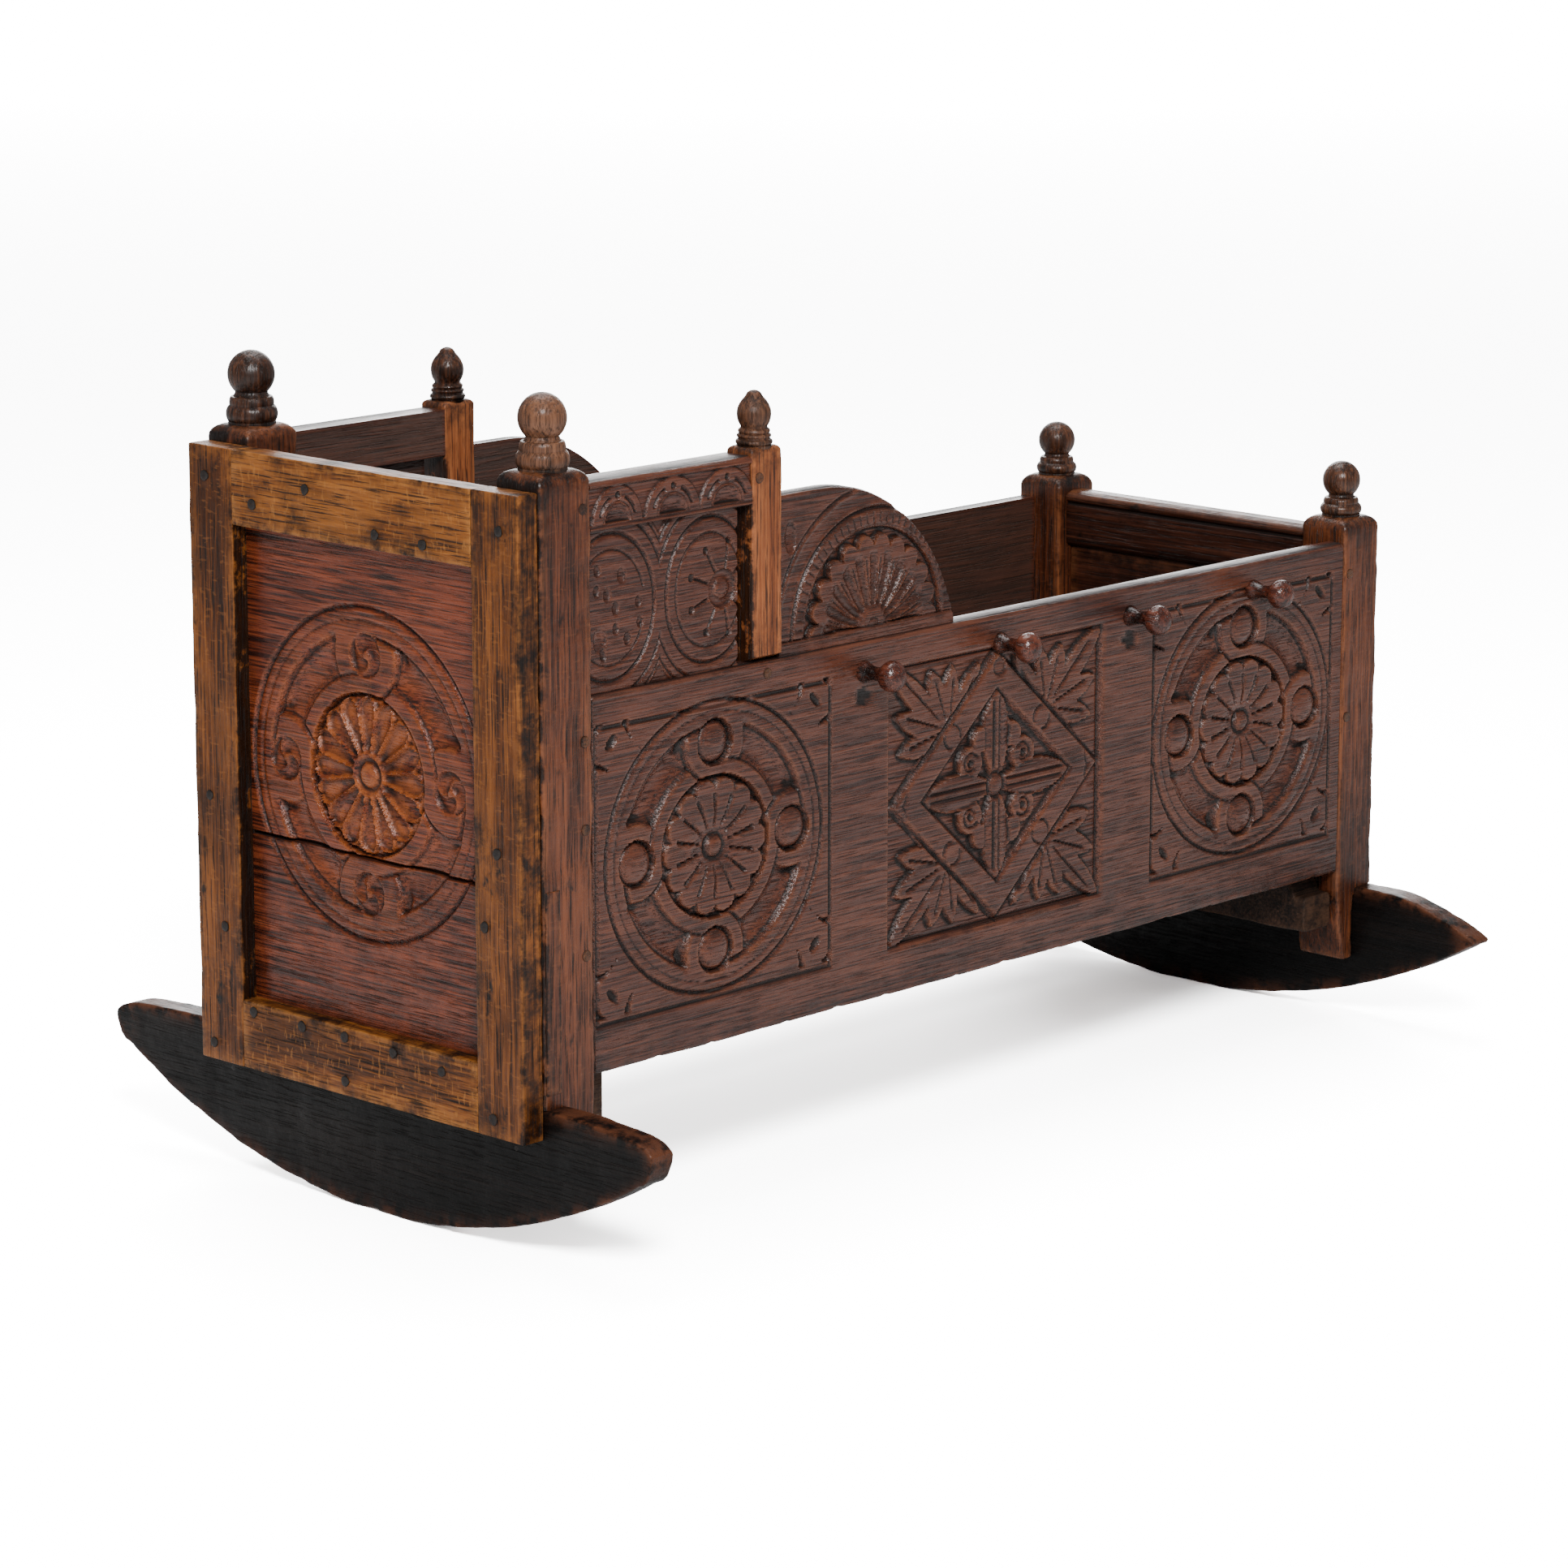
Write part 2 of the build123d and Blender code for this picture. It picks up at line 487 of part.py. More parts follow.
HEAD_PANEL_BOARDS = {
    "head_panel_upper": (HEAD_CRACK_Z + CRACK_W / 2, HEAD_PANEL_Z[1]),
    "head_panel_lower": (HEAD_PANEL_Z[0], HEAD_CRACK_Z - CRACK_W / 2),
}
for name, board_z in HEAD_PANEL_BOARDS.items():
    with BuildPart() as head_panel:
        block(HEAD_PANEL_X, (-HEAD_PANEL_HALF_Y, HEAD_PANEL_HALF_Y), board_z)
        frame_nail_holes()
    finish(head_panel, name)

# ---- Foot end -----------------------------------------------------------------------------
GROOVES_Z = (FOOT_BOTTOM_RAIL_Z[1] - FOOT_GROOVE_D, FOOT_TOP_RAIL_Z[0] + FOOT_GROOVE_D)
FOOT_RAILS = {
    "foot_top_rail": (FOOT_TOP_RAIL_Z, (FOOT_TOP_RAIL_Z[0], GROOVES_Z[1])),
    "foot_bottom_rail": (FOOT_BOTTOM_RAIL_Z, (GROOVES_Z[0], FOOT_BOTTOM_RAIL_Z[1])),
}
for name, (rail_z, groove_z) in FOOT_RAILS.items():
    with BuildPart() as foot_rail:
        block(FOOT_RAIL_X, (-POST_IN_Y, POST_IN_Y), rail_z)
        if name == "foot_top_rail":
            fillet(foot_rail.edges().filter_by(Axis.Y).group_by(Axis.Z)[-1], FOOT_RAIL_EASE)
        tenons_y = (-POST_IN_Y - FOOT_TENON_L, POST_IN_Y + FOOT_TENON_L)
        block(FOOT_TENON_X, tenons_y, tenon_span(rail_z))
        groove_y = (-POST_IN_Y - FOOT_PANEL_EDGE, POST_IN_Y + FOOT_PANEL_EDGE)
        block(FOOT_TENON_X, groove_y, groove_z, Mode.SUBTRACT)
        for sign in SIDES.values():
            for peg_z in END_PEG_Z:
                start = (FOOT_X + FOOT_POST_L / 2, sign * END_PEG_Y, peg_z)
                rod(start, TOWARDS_HEAD, PEG_R + CLEARANCE, PEG_L, Mode.SUBTRACT)
    finish(foot_rail, name)

with BuildPart() as foot_panel:
    block(FOOT_PANEL_X, (-POST_IN_Y, POST_IN_Y), (FOOT_BOTTOM_RAIL_Z[1], FOOT_TOP_RAIL_Z[0]))
    edge_half_y = POST_IN_Y + FOOT_PANEL_EDGE - GROOVE_ROOM
    edge_y = (-edge_half_y, edge_half_y)
    edge_z = (GROOVES_Z[0] + GROOVE_ROOM, GROOVES_Z[1] - GROOVE_ROOM)
    block(FOOT_TENON_X, edge_y, edge_z)
finish(foot_panel, "foot_panel")

# ---- Bottom -------------------------------------------------------------------------------
# The outer floor boards are cut round the posts.
floor_pitch = 2 * FLOOR_HALF_Y / FLOOR_COUNT
for number in range(FLOOR_COUNT):
    low_y = -FLOOR_HALF_Y + floor_pitch * number
    with BuildPart() as floor_board:
        block(FLOOR_X, (low_y + FLOOR_GAP / 2, low_y + floor_pitch - FLOOR_GAP / 2), FLOOR_Z)
        for sign in SIDES.values():
            corner_y = across(sign, POST_IN_Y - POST_ROOM, POST_OUT_Y)
            block((FLOOR_X[0], BOARD_X[0] + POST_ROOM), corner_y, FLOOR_Z, Mode.SUBTRACT)
            block((BOARD_X[1] - POST_ROOM, FLOOR_X[1]), corner_y, FLOOR_Z, Mode.SUBTRACT)
        floor_nail_holes()
    finish(floor_board, f"floor_board_{number + 1}")

with BuildPart() as head_bearer:
    block(HEAD_BEARER_X, (-HEAD_BEARER_HALF_Y, HEAD_BEARER_HALF_Y), HEAD_BEARER_Z)
    upper_edges = head_bearer.edges().filter_by(Axis.Y).group_by(Axis.Z)[-1]
    chamfer(upper_edges.sort_by(Axis.X)[-1], BEARER_CHAMFER)
    floor_nail_holes()
finish(head_bearer, "floor_bearer_head")

with BuildPart() as foot_bearer:
    block(FOOT_BEARER_X, (-HEAD_BEARER_HALF_Y, HEAD_BEARER_HALF_Y), FOOT_BEARER_Z)
    ends_z = (FOOT_BEARER_Z[0], BEARER_SHOULDER_Z)
    block(FOOT_BEARER_X, (-FOOT_BEARER_HALF_Y, FOOT_BEARER_HALF_Y), ends_z)
    floor_nail_holes()
finish(foot_bearer, "floor_bearer_foot")


# ---- Rockers ------------------------------------------------------------------------------
def rocker_sole(half):
    """Height of the rocker's curved sole at a distance from its middle, above the worn flat."""
    worn = ROCKER_R - sqrt(ROCKER_R**2 - (WORN_FLAT / 2) ** 2)
    return ROCKER_R - sqrt(ROCKER_R**2 - half**2) - worn


def sole_line(half):
    """The sole from one end to the other: an arc each side of the worn flat."""
    flat = WORN_FLAT / 2
    RadiusArc((-half, rocker_sole(half)), (-flat, 0), -ROCKER_R)
    Line((-flat, 0), (flat, 0))
    RadiusArc((flat, 0), (half, rocker_sole(half)), -ROCKER_R)


def rocker_outline(sole_half, nose):
    """A rocker's side: its sole, its two noses and the level seat between them."""
    tip, upper_edge, fall, seat = nose
    sole_line(sole_half)
    for sign in SIDES.values():
        sole_end = (sign * sole_half, rocker_sole(sole_half))
        ThreePointArc(sole_end, (sign * tip[0], tip[1]), (sign * upper_edge[0], upper_edge[1]))
        ThreePointArc(
            (sign * upper_edge[0], upper_edge[1]), (sign * fall[0], fall[1]), (sign * seat[0], seat[1])
        )
    Line((-seat[0], seat[1]), seat)


# The head rocker ends in blunt rounded noses, and the foot rocker in points.
with BuildPart() as rocker_head:
    with BuildSketch(Plane(origin=(FRAME_IN_X, 0, 0), x_dir=(0, 1, 0), z_dir=(1, 0, 0))):
        with BuildLine():
            rocker_outline(HEAD_SOLE_HALF, HEAD_NOSE)
        make_face()
    extrude(amount=ROCKER_T)
    rocker_nail_holes(FRAME_IN_X, TOWARDS_FOOT)
    frame_nail_holes()
finish(rocker_head, "rocker_head")

with BuildPart() as rocker_foot:
    with BuildSketch(Plane(origin=(FOOT_ROCKER_IN_X, 0, 0), x_dir=(0, 1, 0), z_dir=(1, 0, 0))):
        with BuildLine():
            rocker_outline(FOOT_SOLE_HALF, FOOT_NOSE)
        make_face()
    extrude(amount=ROCKER_T)
    rocker_nail_holes(FOOT_X + FOOT_POST_L / 2, TOWARDS_HEAD)
finish(rocker_foot, "rocker_foot")

# ---- Lacing knobs -------------------------------------------------------------------------
for side, sign in SIDES.items():
    for number, x in enumerate(KNOB_X, start=1):
        root = (x, sign * BOARD_OUT_Y, KNOB_Z)
        with BuildPart() as knob:
            with BuildSketch(Plane(origin=root, x_dir=(1, 0, 0), z_dir=(0, 0, sign))):
                with BuildLine():
                    Polyline((2, KNOB_L), (0, KNOB_L), (0, -SPIGOT_L), (SPIGOT_R, -SPIGOT_L))
                    Polyline((SPIGOT_R, -SPIGOT_L), (SPIGOT_R, 0), (7, 0))
                    ThreePointArc((7, 0), (7.4, 2.5), (6, 5))
                    Spline((6, 5), (4.6, 10), (6.2, 18), (10, 24))
                    ThreePointArc((10, 24), (KNOB_R, 29), (9.5, 34))
                    ThreePointArc((9.5, 34), (6, 36.2), (2, KNOB_L))
                make_face()
            revolve(axis=Axis(root, (0, sign, 0)))
        finish(knob, f"lacing_knob_{side}_{number}")

# ---- Pegs and nails -----------------------------------------------------------------------
with BuildPart() as joint_pegs:
    for sign in SIDES.values():
        for x, z in SIDE_PEGS:
            face_y = BOARD_OUT_Y if abs(x - HOOD_X) < HOOD_POST_L else POST_OUT_Y
            length = HOOD_PEG_L if face_y == BOARD_OUT_Y else PEG_L
            rod((x, sign * (face_y + PEG_PROUD), z), inward(sign), PEG_R, length)
        for peg_z in END_PEG_Z:
            start = (FOOT_X + FOOT_POST_L / 2, sign * END_PEG_Y, peg_z)
            rod(start, TOWARDS_HEAD, PEG_R, PEG_L)
finish(joint_pegs, "joint_pegs")

with BuildPart() as frame_nails:
    for y, z in FRAME_NAILS:
        rod((FRAME_OUT_X, y, z), TOWARDS_FOOT, SHANK_R, FRAME_NAIL_L)
        with Locations(Location((FRAME_OUT_X, y, z), TOWARDS_HEAD)):
            Cone(NAIL_HEAD_R, NAIL_HEAD_R / 2, NAIL_HEAD_H, align=CENTRED_LOW)
finish(frame_nails, "frame_nails")

with BuildPart() as board_nails:
    for sign in SIDES.values():
        for x in BOARD_NAIL_X:
            rod((x, sign * BOARD_OUT_Y, BOARD_NAIL_Z), inward(sign), BOARD_NAIL_R, BOARD_NAIL_L)
finish(board_nails, "board_nails")

with BuildPart() as rocker_nails:
    for sign in SIDES.values():
        for y in ROCKER_NAIL_Y:
            rod((FRAME_IN_X, sign * y, ROCKER_NAIL_Z), TOWARDS_FOOT, ROCKER_NAIL_R, ROCKER_NAIL_L)
            start = (FOOT_X + FOOT_POST_L / 2, sign * y, ROCKER_NAIL_Z)
            rod(start, TOWARDS_HEAD, ROCKER_NAIL_R, ROCKER_NAIL_L)
finish(rocker_nails, "rocker_nails")

with BuildPart() as floor_nail_set:
    for x, y in floor_nails():
        rod((x, y, FLOOR_Z[1]), DOWN, SHANK_R, FLOOR_NAIL_L)
finish(floor_nail_set, "floor_nails")
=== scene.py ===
# %% [markdown]
# # A carved oak cradle
#
# The cradle is joined oak from a country workshop: posts, carved boards, a nailed head frame and
# two curved rockers. The CAD model already says where every piece stands. This lesson gives each
# piece the surface that a carver, a turner and three centuries of hands gave it.
#
# The first step loads that model as a fixed frame. `sizes` asks it for a piece's box, so no
# place is typed twice. Everything below is worked out in millimetres.

import bpy
import numpy as np
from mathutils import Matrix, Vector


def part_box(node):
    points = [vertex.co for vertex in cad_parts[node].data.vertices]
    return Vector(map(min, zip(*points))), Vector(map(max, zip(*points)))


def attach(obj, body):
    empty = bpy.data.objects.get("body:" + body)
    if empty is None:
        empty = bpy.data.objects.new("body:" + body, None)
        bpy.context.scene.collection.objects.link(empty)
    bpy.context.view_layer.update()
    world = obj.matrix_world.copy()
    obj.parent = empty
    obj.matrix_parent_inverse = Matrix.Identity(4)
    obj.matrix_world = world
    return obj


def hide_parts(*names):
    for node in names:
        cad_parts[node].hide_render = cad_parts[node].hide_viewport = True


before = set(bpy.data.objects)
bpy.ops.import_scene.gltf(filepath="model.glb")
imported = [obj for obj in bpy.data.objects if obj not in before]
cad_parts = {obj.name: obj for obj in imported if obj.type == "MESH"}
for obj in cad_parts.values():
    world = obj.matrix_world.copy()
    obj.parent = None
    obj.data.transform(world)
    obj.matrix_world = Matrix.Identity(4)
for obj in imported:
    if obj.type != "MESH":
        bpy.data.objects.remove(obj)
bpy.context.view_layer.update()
MM = 0.001
SIDES = {"right": -1, "left": 1}


def sizes(*nodes):
    """The box round some CAD nodes in millimetres: a (low, high) pair for each of X, Y and Z."""
    corners = np.array([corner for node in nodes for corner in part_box(node)]) / MM
    return [(low, high) for low, high in zip(corners.min(axis=0), corners.max(axis=0))]


# %% [markdown]
# ## Camera
#
# The view is a long lens looking down a little on the head end and the right side. From four
# metres away such a lens keeps the cradle's long edges nearly parallel, so its proportions show.

# %% Camera
CAMERA_AT = (-2.852, -2.689, 1.112)
LENS, SENSOR = 122.0, 36.0  # both in millimetres
LOOK_DOWN, LOOK_LEFT = 12.57, 46.33  # degrees below the level, and round from +Y towards +X
camera = bpy.data.objects.new("camera", bpy.data.cameras.new("camera"))
camera.data.lens = LENS
camera.data.sensor_width = SENSOR
camera.location = CAMERA_AT
camera.rotation_euler = np.radians((90 - LOOK_DOWN, 0, -LOOK_LEFT))
bpy.context.scene.collection.objects.link(camera)
bpy.context.scene.camera = camera
print(f"camera {np.hypot(*CAMERA_AT[:2]):.2f} m away, {CAMERA_AT[2]:.2f} m up")


# %% [markdown]
# ## Floor
#
# The floor is one plain sheet, far wider than the view. A real white sweep is lit so hard that it
# burns out, yet it must not flood the cradle from below. A Light Path node tells the two apart:
# rays from the camera meet a very bright white, and all other rays a plain pale grey.

# %% Floor
REACH = 60.0
SENT_BACK = (0.86, 0.86, 0.86, 1)  # what lights the cradle from below
SEEN = (16.0, 16.0, 16.05, 1)  # what the camera sees, burnt out to white
floor_mesh = bpy.data.meshes.new("floor")
corners = [(-REACH, -REACH, 0), (REACH, -REACH, 0), (REACH, REACH, 0), (-REACH, REACH, 0)]
floor_mesh.from_pydata(corners, [], [(0, 1, 2, 3)])
floor = bpy.data.objects.new("floor", floor_mesh)
bpy.context.scene.collection.objects.link(floor)
white = bpy.data.materials.new("white_floor")
white.use_nodes = True
nodes, links = white.node_tree.nodes, white.node_tree.links
nodes.remove(nodes["Principled BSDF"])
matt = nodes.new("ShaderNodeBsdfDiffuse")
seen = nodes.new("ShaderNodeMix")
seen.data_type = "RGBA"
seen.inputs[6].default_value = SENT_BACK
seen.inputs[7].default_value = SEEN
links.new(nodes.new("ShaderNodeLightPath").outputs["Is Camera Ray"], seen.inputs["Factor"])
links.new(seen.outputs[2], matt.inputs["Color"])
links.new(matt.outputs["BSDF"], nodes["Material Output"].inputs["Surface"])
floor_mesh.materials.append(white)
print("floor:", 2 * REACH, "m square")


# %% [markdown]
# ## Lights
#
# The light is that of a studio tent. White walls are a dim, even world. One broad soft light
# hangs overhead and one stands far behind, and they make every waxed top edge shine. A smaller
# key light off the near corner rakes across both carved faces, so each cut has a bright and a
# dark side.

# %% Lights
world = bpy.data.worlds.new("tent")
world.use_nodes = True
walls = world.node_tree.nodes["Background"].inputs
walls["Color"].default_value = (1.0, 1.0, 1.0, 1)
walls["Strength"].default_value = 0.30
bpy.context.scene.world = world


def soft_light(name, place, aim, size, watts):
    """A square area light at a place, its face turned to the point it aims at."""
    lamp = bpy.data.lights.new(name, "AREA")
    lamp.size = size
    lamp.energy = watts
    light = bpy.data.objects.new(name, lamp)
    light.location = place
    away = light.location - type(light.location)(aim)
    light.rotation_euler = away.to_track_quat("Z", "Y").to_euler()
    light.visible_camera = False
    bpy.context.scene.collection.objects.link(light)


MIDDLE = (0, 0, 0.3)
soft_light("overhead", (0.3, 0.5, 2.6), MIDDLE, size=1.6, watts=36)
soft_light("key", (-2.2, -2.4, 2.5), MIDDLE, size=0.9, watts=118)
soft_light("back", (10.0, 9.7, 3.4), MIDDLE, size=8.0, watts=1150)


# %% [markdown]
# ## Writing a piece
#
# Every piece is a grid of points worked out with whole arrays. `make_piece` puts the grid into a
# mesh, closes it, and checks which way its faces look: the signed volume of a closed shell is
# positive only if they look outwards. It also stores four numbers at each point for the
# finishes to read: `cut`, dirt and painted shade in the carver's crevices; `wear` on rubbed edges;
# a stain number where the oak is blackened, which on some pieces is painted shade beside other
# parts; and `dust` on the dry unwaxed insides.

# %% Pieces
SHARP = 38  # degrees between two faces past which their edge isn't shaded as smooth


def grid_faces(rows, columns, closed=True):
    """Quads between the points of a rows by columns grid; closed joins the last column to the first."""
    row = np.arange(rows - 1)[:, None] * columns
    column = np.arange(columns if closed else columns - 1)[None, :]
    following = (column + 1) % columns
    corners = [row + column, row + following, row + columns + following, row + columns + column]
    return np.stack(corners, axis=-1).reshape(-1, 4)


def signed_volume(points, faces):
    """A sixth of the sum of the box products of a fan of triangles over each face."""
    total = 0.0
    for face in faces:
        fan = points[face]
        first = fan[..., 0:1, :]
        box_product = np.cross(fan[..., 1:-1, :], fan[..., 2:, :]) * first
        total += box_product.sum()
    return total / 6


def make_piece(name, points, quads, caps, finish, nodes,
               cut=None, wear=None, stain_and_shade=None, dust=None):
    """A closed mesh of quads and flat caps, finished, riding on the cradle, in place of its nodes."""
    faces = [quads] + [np.asarray(cap) for cap in caps]
    if signed_volume(points, faces) < 0:
        faces = [face[..., ::-1] for face in faces]
    mesh = bpy.data.meshes.new(name)
    mesh.vertices.add(len(points))
    mesh.vertices.foreach_set("co", (points * MM).astype(np.float32).ravel())
    counts = np.concatenate([np.full(len(quads), 4)] + [[len(cap)] for cap in caps])
    starts = np.concatenate([[0], np.cumsum(counts)[:-1]])
    loops = np.concatenate([face.ravel() for face in faces])
    mesh.loops.add(len(loops))
    mesh.loops.foreach_set("vertex_index", loops.astype(np.int32))
    mesh.polygons.add(len(counts))
    mesh.polygons.foreach_set("loop_start", starts.astype(np.int32))
    mesh.update(calc_edges=True)
    mesh.validate()
    mesh.polygons.foreach_set("use_smooth", np.ones(len(mesh.polygons), bool))
    mesh.set_sharp_from_angle(angle=np.radians(SHARP))
    for key, values in {"cut": cut, "wear": wear, "stain_and_shade": stain_and_shade, "dust": dust}.items():
        layer = mesh.attributes.new(key, "FLOAT", "POINT")
        if values is not None:
            layer.data.foreach_set("value", np.asarray(values, np.float32).ravel())
    mesh.materials.append(finish)
    piece = bpy.data.objects.new(name, mesh)
    bpy.context.scene.collection.objects.link(piece)
    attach(piece, "root")
    if nodes:
        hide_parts(*nodes)
    print(f"{name}: {len(points)} points, {len(mesh.polygons)} faces")
    return piece


# %% [markdown]
# ## A bench for finishes
#
# Every finish is a network of nodes that reads the place of a point on the cradle, so a pattern
# runs through the solid wood and never slides. `Finish` is a small bench for building one: each
# of its methods adds a node, feeds it, and hands back its output.

# %% A bench for finishes
def paint(red, green, blue):
    """A colour as a screen shows it, 0 to 255, turned into the linear light that shaders use."""
    return tuple(np.power(np.array((red, green, blue)) / 255, 2.2)) + (1.0,)


class Finish:
    """A material and short ways to add nodes to it."""

    def __init__(self, name):
        self.material = bpy.data.materials.new(name)
        self.material.use_nodes = True
        self.tree = self.material.node_tree
        self.shader = self.tree.nodes["Principled BSDF"]
        self.place = self.node("ShaderNodeTexCoord").outputs["Object"]

    def node(self, kind, **values):
        node = self.tree.nodes.new(kind)
        for key, value in values.items():
            setattr(node, key, value)
        return node

    def feed(self, socket, value):
        """Links a socket to another node's output, or sets it to a constant."""
        if isinstance(value, bpy.types.NodeSocket):
            self.tree.links.new(value, socket)
        else:
            socket.default_value = value

    def noise(self, scale, detail=3.0, roughness=0.55, distortion=0.0, shift=0.0):
        """Noise whose scale is one number, or one for each axis to stretch it along the grain."""
        stretch = self.node("ShaderNodeMapping")
        self.feed(stretch.inputs["Vector"], self.place)
        stretch.inputs["Scale"].default_value = np.broadcast_to(scale, 3)
        stretch.inputs["Location"].default_value = (shift, shift, shift)
        noise = self.node("ShaderNodeTexNoise")
        self.feed(noise.inputs["Vector"], stretch.outputs["Vector"])
        noise.inputs["Scale"].default_value = 1.0
        noise.inputs["Detail"].default_value = detail
        noise.inputs["Roughness"].default_value = roughness
        noise.inputs["Distortion"].default_value = distortion
        return noise.outputs["Fac"]

    def attribute(self, name):
        return self.node("ShaderNodeAttribute", attribute_name=name).outputs["Fac"]

    def remap(self, value, low, high, to_low=0.0, to_high=1.0):
        """value, smoothly taken from low..high to to_low..to_high and held at both ends."""
        node = self.node("ShaderNodeMapRange", interpolation_type="SMOOTHSTEP")
        for socket, number in zip(node.inputs, (value, low, high, to_low, to_high)):
            self.feed(socket, number)
        return node.outputs["Result"]

    def sum(self, operation, first, second):
        node = self.node("ShaderNodeMath", operation=operation)
        self.feed(node.inputs[0], first)
        self.feed(node.inputs[1], second)
        return node.outputs["Value"]

    def ramp(self, value, stops):
        """value looked up in a list of (place, colour) stops."""
        node = self.node("ShaderNodeValToRGB")
        self.feed(node.inputs["Fac"], value)
        band = node.color_ramp.elements
        band[0].position, band[0].color = stops[0]
        band[1].position, band[1].color = stops[-1]
        for position, colour in stops[1:-1]:
            band.new(position).color = colour
        return node.outputs["Color"]

    def mix(self, amount, below, above, blend="MIX"):
        node = self.node("ShaderNodeMix", data_type="RGBA", blend_type=blend)
        self.feed(node.inputs["Factor"], amount)
        self.feed(node.inputs[6], below)
        self.feed(node.inputs[7], above)
        return node.outputs[2]

    def bump(self, height, depth, under=None):
        """A bump of the given depth in metres, laid over another bump's normal."""
        node = self.node("ShaderNodeBump")
        node.inputs["Distance"].default_value = depth
        self.feed(node.inputs["Height"], height)
        if under is not None:
            self.feed(node.inputs["Normal"], under)
        return node.outputs["Normal"]


# %% [markdown]
# ## Oak
#
# Old oak shows four things at once. Its growth rings make long soft bands of colour. Its pores
# are short dark dashes along the grain. Wax and handling leave dark blotches. Dirt and painted
# shade darken every cut, and edges are rubbed back to bright wood. One function mixes those from
# stretched noise, so each timber's finish is that function with its own colours and grain direction.

# %% Oak
def along(grain, across, length):
    """Noise scales for a grain direction: across for the other two axes, length along the grain."""
    return tuple(length if axis == grain else across for axis in "XYZ")


def oak(name, grain, dark, middle, light, rubbed, gloss=0.30, blotch=0.5, shift=0.0, rays=0.0,
        fine=1.0, bands=0.45, pore=0.6, shine=0.45, reach=7, lumps=0.0010):
    """Waxed oak. dark, middle and light are the growth rings, rubbed the bare wood of worn edges.
    bands is the share of broad rings against fine streaks, and reach how often a streak ends in a metre."""
    dark, middle, light, rubbed = (paint(*colour) for colour in (dark, middle, light, rubbed))
    black, grey = paint(17, 12, 10), paint(78, 66, 60)
    wood = Finish(name)
    rings = wood.noise(along(grain, 55, 2.6), detail=5, roughness=0.6, distortion=0.25, shift=shift)
    streaks = wood.noise(along(grain, 420 * fine, reach), detail=4, roughness=0.6, shift=shift)
    broad, narrow = wood.sum("MULTIPLY", rings, bands), wood.sum("MULTIPLY", streaks, 1 - bands)
    figure = wood.sum("ADD", broad, narrow)
    colour = wood.ramp(figure, [(0.40, dark), (0.50, middle), (0.60, light)])
    tone = wood.noise(along(grain, 13, 5), detail=4, roughness=0.65, shift=shift + 3)
    colour = wood.mix(wood.remap(tone, 0.50, 0.70, 0, blotch), colour, dark)
    colour = wood.mix(wood.remap(tone, 0.50, 0.34, 0, 0.55), colour, light)
    spots = wood.noise(along(grain, 42, 24), detail=4, roughness=0.7, shift=shift + 7)
    colour = wood.mix(wood.remap(spots, 0.58, 0.72, 0, blotch * 1.4), colour, black)
    pores = wood.remap(wood.noise(along(grain, 760 * fine, 26), detail=2, shift=shift), 0.54, 0.66)
    colour = wood.mix(wood.sum("MULTIPLY", pores, pore), colour, black)
    if rays:
        flecks = wood.noise(along(grain, 130, 420), detail=1, distortion=0.4, shift=shift)
        colour = wood.mix(wood.remap(flecks, 0.60, 0.70, 0, rays), colour, rubbed)
    rub = wood.noise(60, detail=4, roughness=0.7, shift=shift + 5)
    worn = wood.sum("MULTIPLY", wood.attribute("wear"), wood.remap(rub, 0.36, 0.58))
    colour = wood.mix(wood.sum("MULTIPLY", worn, 0.6), colour, rubbed)
    # The stain numbers blacken the oak: real soot and iron, and on some pieces painted shade beside other
    # parts.
    blackening = wood.sum("MULTIPLY", wood.attribute("stain_and_shade"), wood.remap(rub, 0.70, 0.30))
    colour = wood.mix(wood.sum("MINIMUM", blackening, 0.92), colour, black)
    colour = wood.mix(wood.sum("MULTIPLY", wood.attribute("dust"), 0.5), colour, grey)
    # The cut numbers darken crevices towards black: dirt, and painted shade.
    dirt_and_shade = wood.attribute("cut")
    colour = wood.mix(wood.sum("MINIMUM", dirt_and_shade, 0.93), colour, black)
    wood.feed(wood.shader.inputs["Base Color"], colour)
    waxed = wood.remap(tone, 0.3, 0.7, gloss - 0.05, gloss + 0.12)
    sheen = wood.sum("ADD", waxed, wood.sum("MULTIPLY", dirt_and_shade, 0.3))
    sheen = wood.sum("ADD", sheen, wood.sum("MULTIPLY", pores, 0.15))
    wood.feed(wood.shader.inputs["Roughness"], sheen)
    wood.shader.inputs["Specular IOR Level"].default_value = shine
    normal = wood.bump(wood.noise(55, detail=3, shift=shift), lumps)
    normal = wood.bump(figure, 0.0008, normal)
    normal = wood.bump(wood.sum("SUBTRACT", 1.0, pores), 0.0003, normal)
    wood.feed(wood.shader.inputs["Normal"], normal)
    return wood.material


# %% [markdown]
# ## The cradle's woods
#
# The carved boards are plum brown and glossy from wax. The newer head frame is golden and blotched
# with iron stains. The rockers are nearly black from the floor, the insides dry and grey. The
# right hand finials at the head are the ones most handled, so they are paler. The colours are the
# four that `oak` asks for, as a screen shows them.

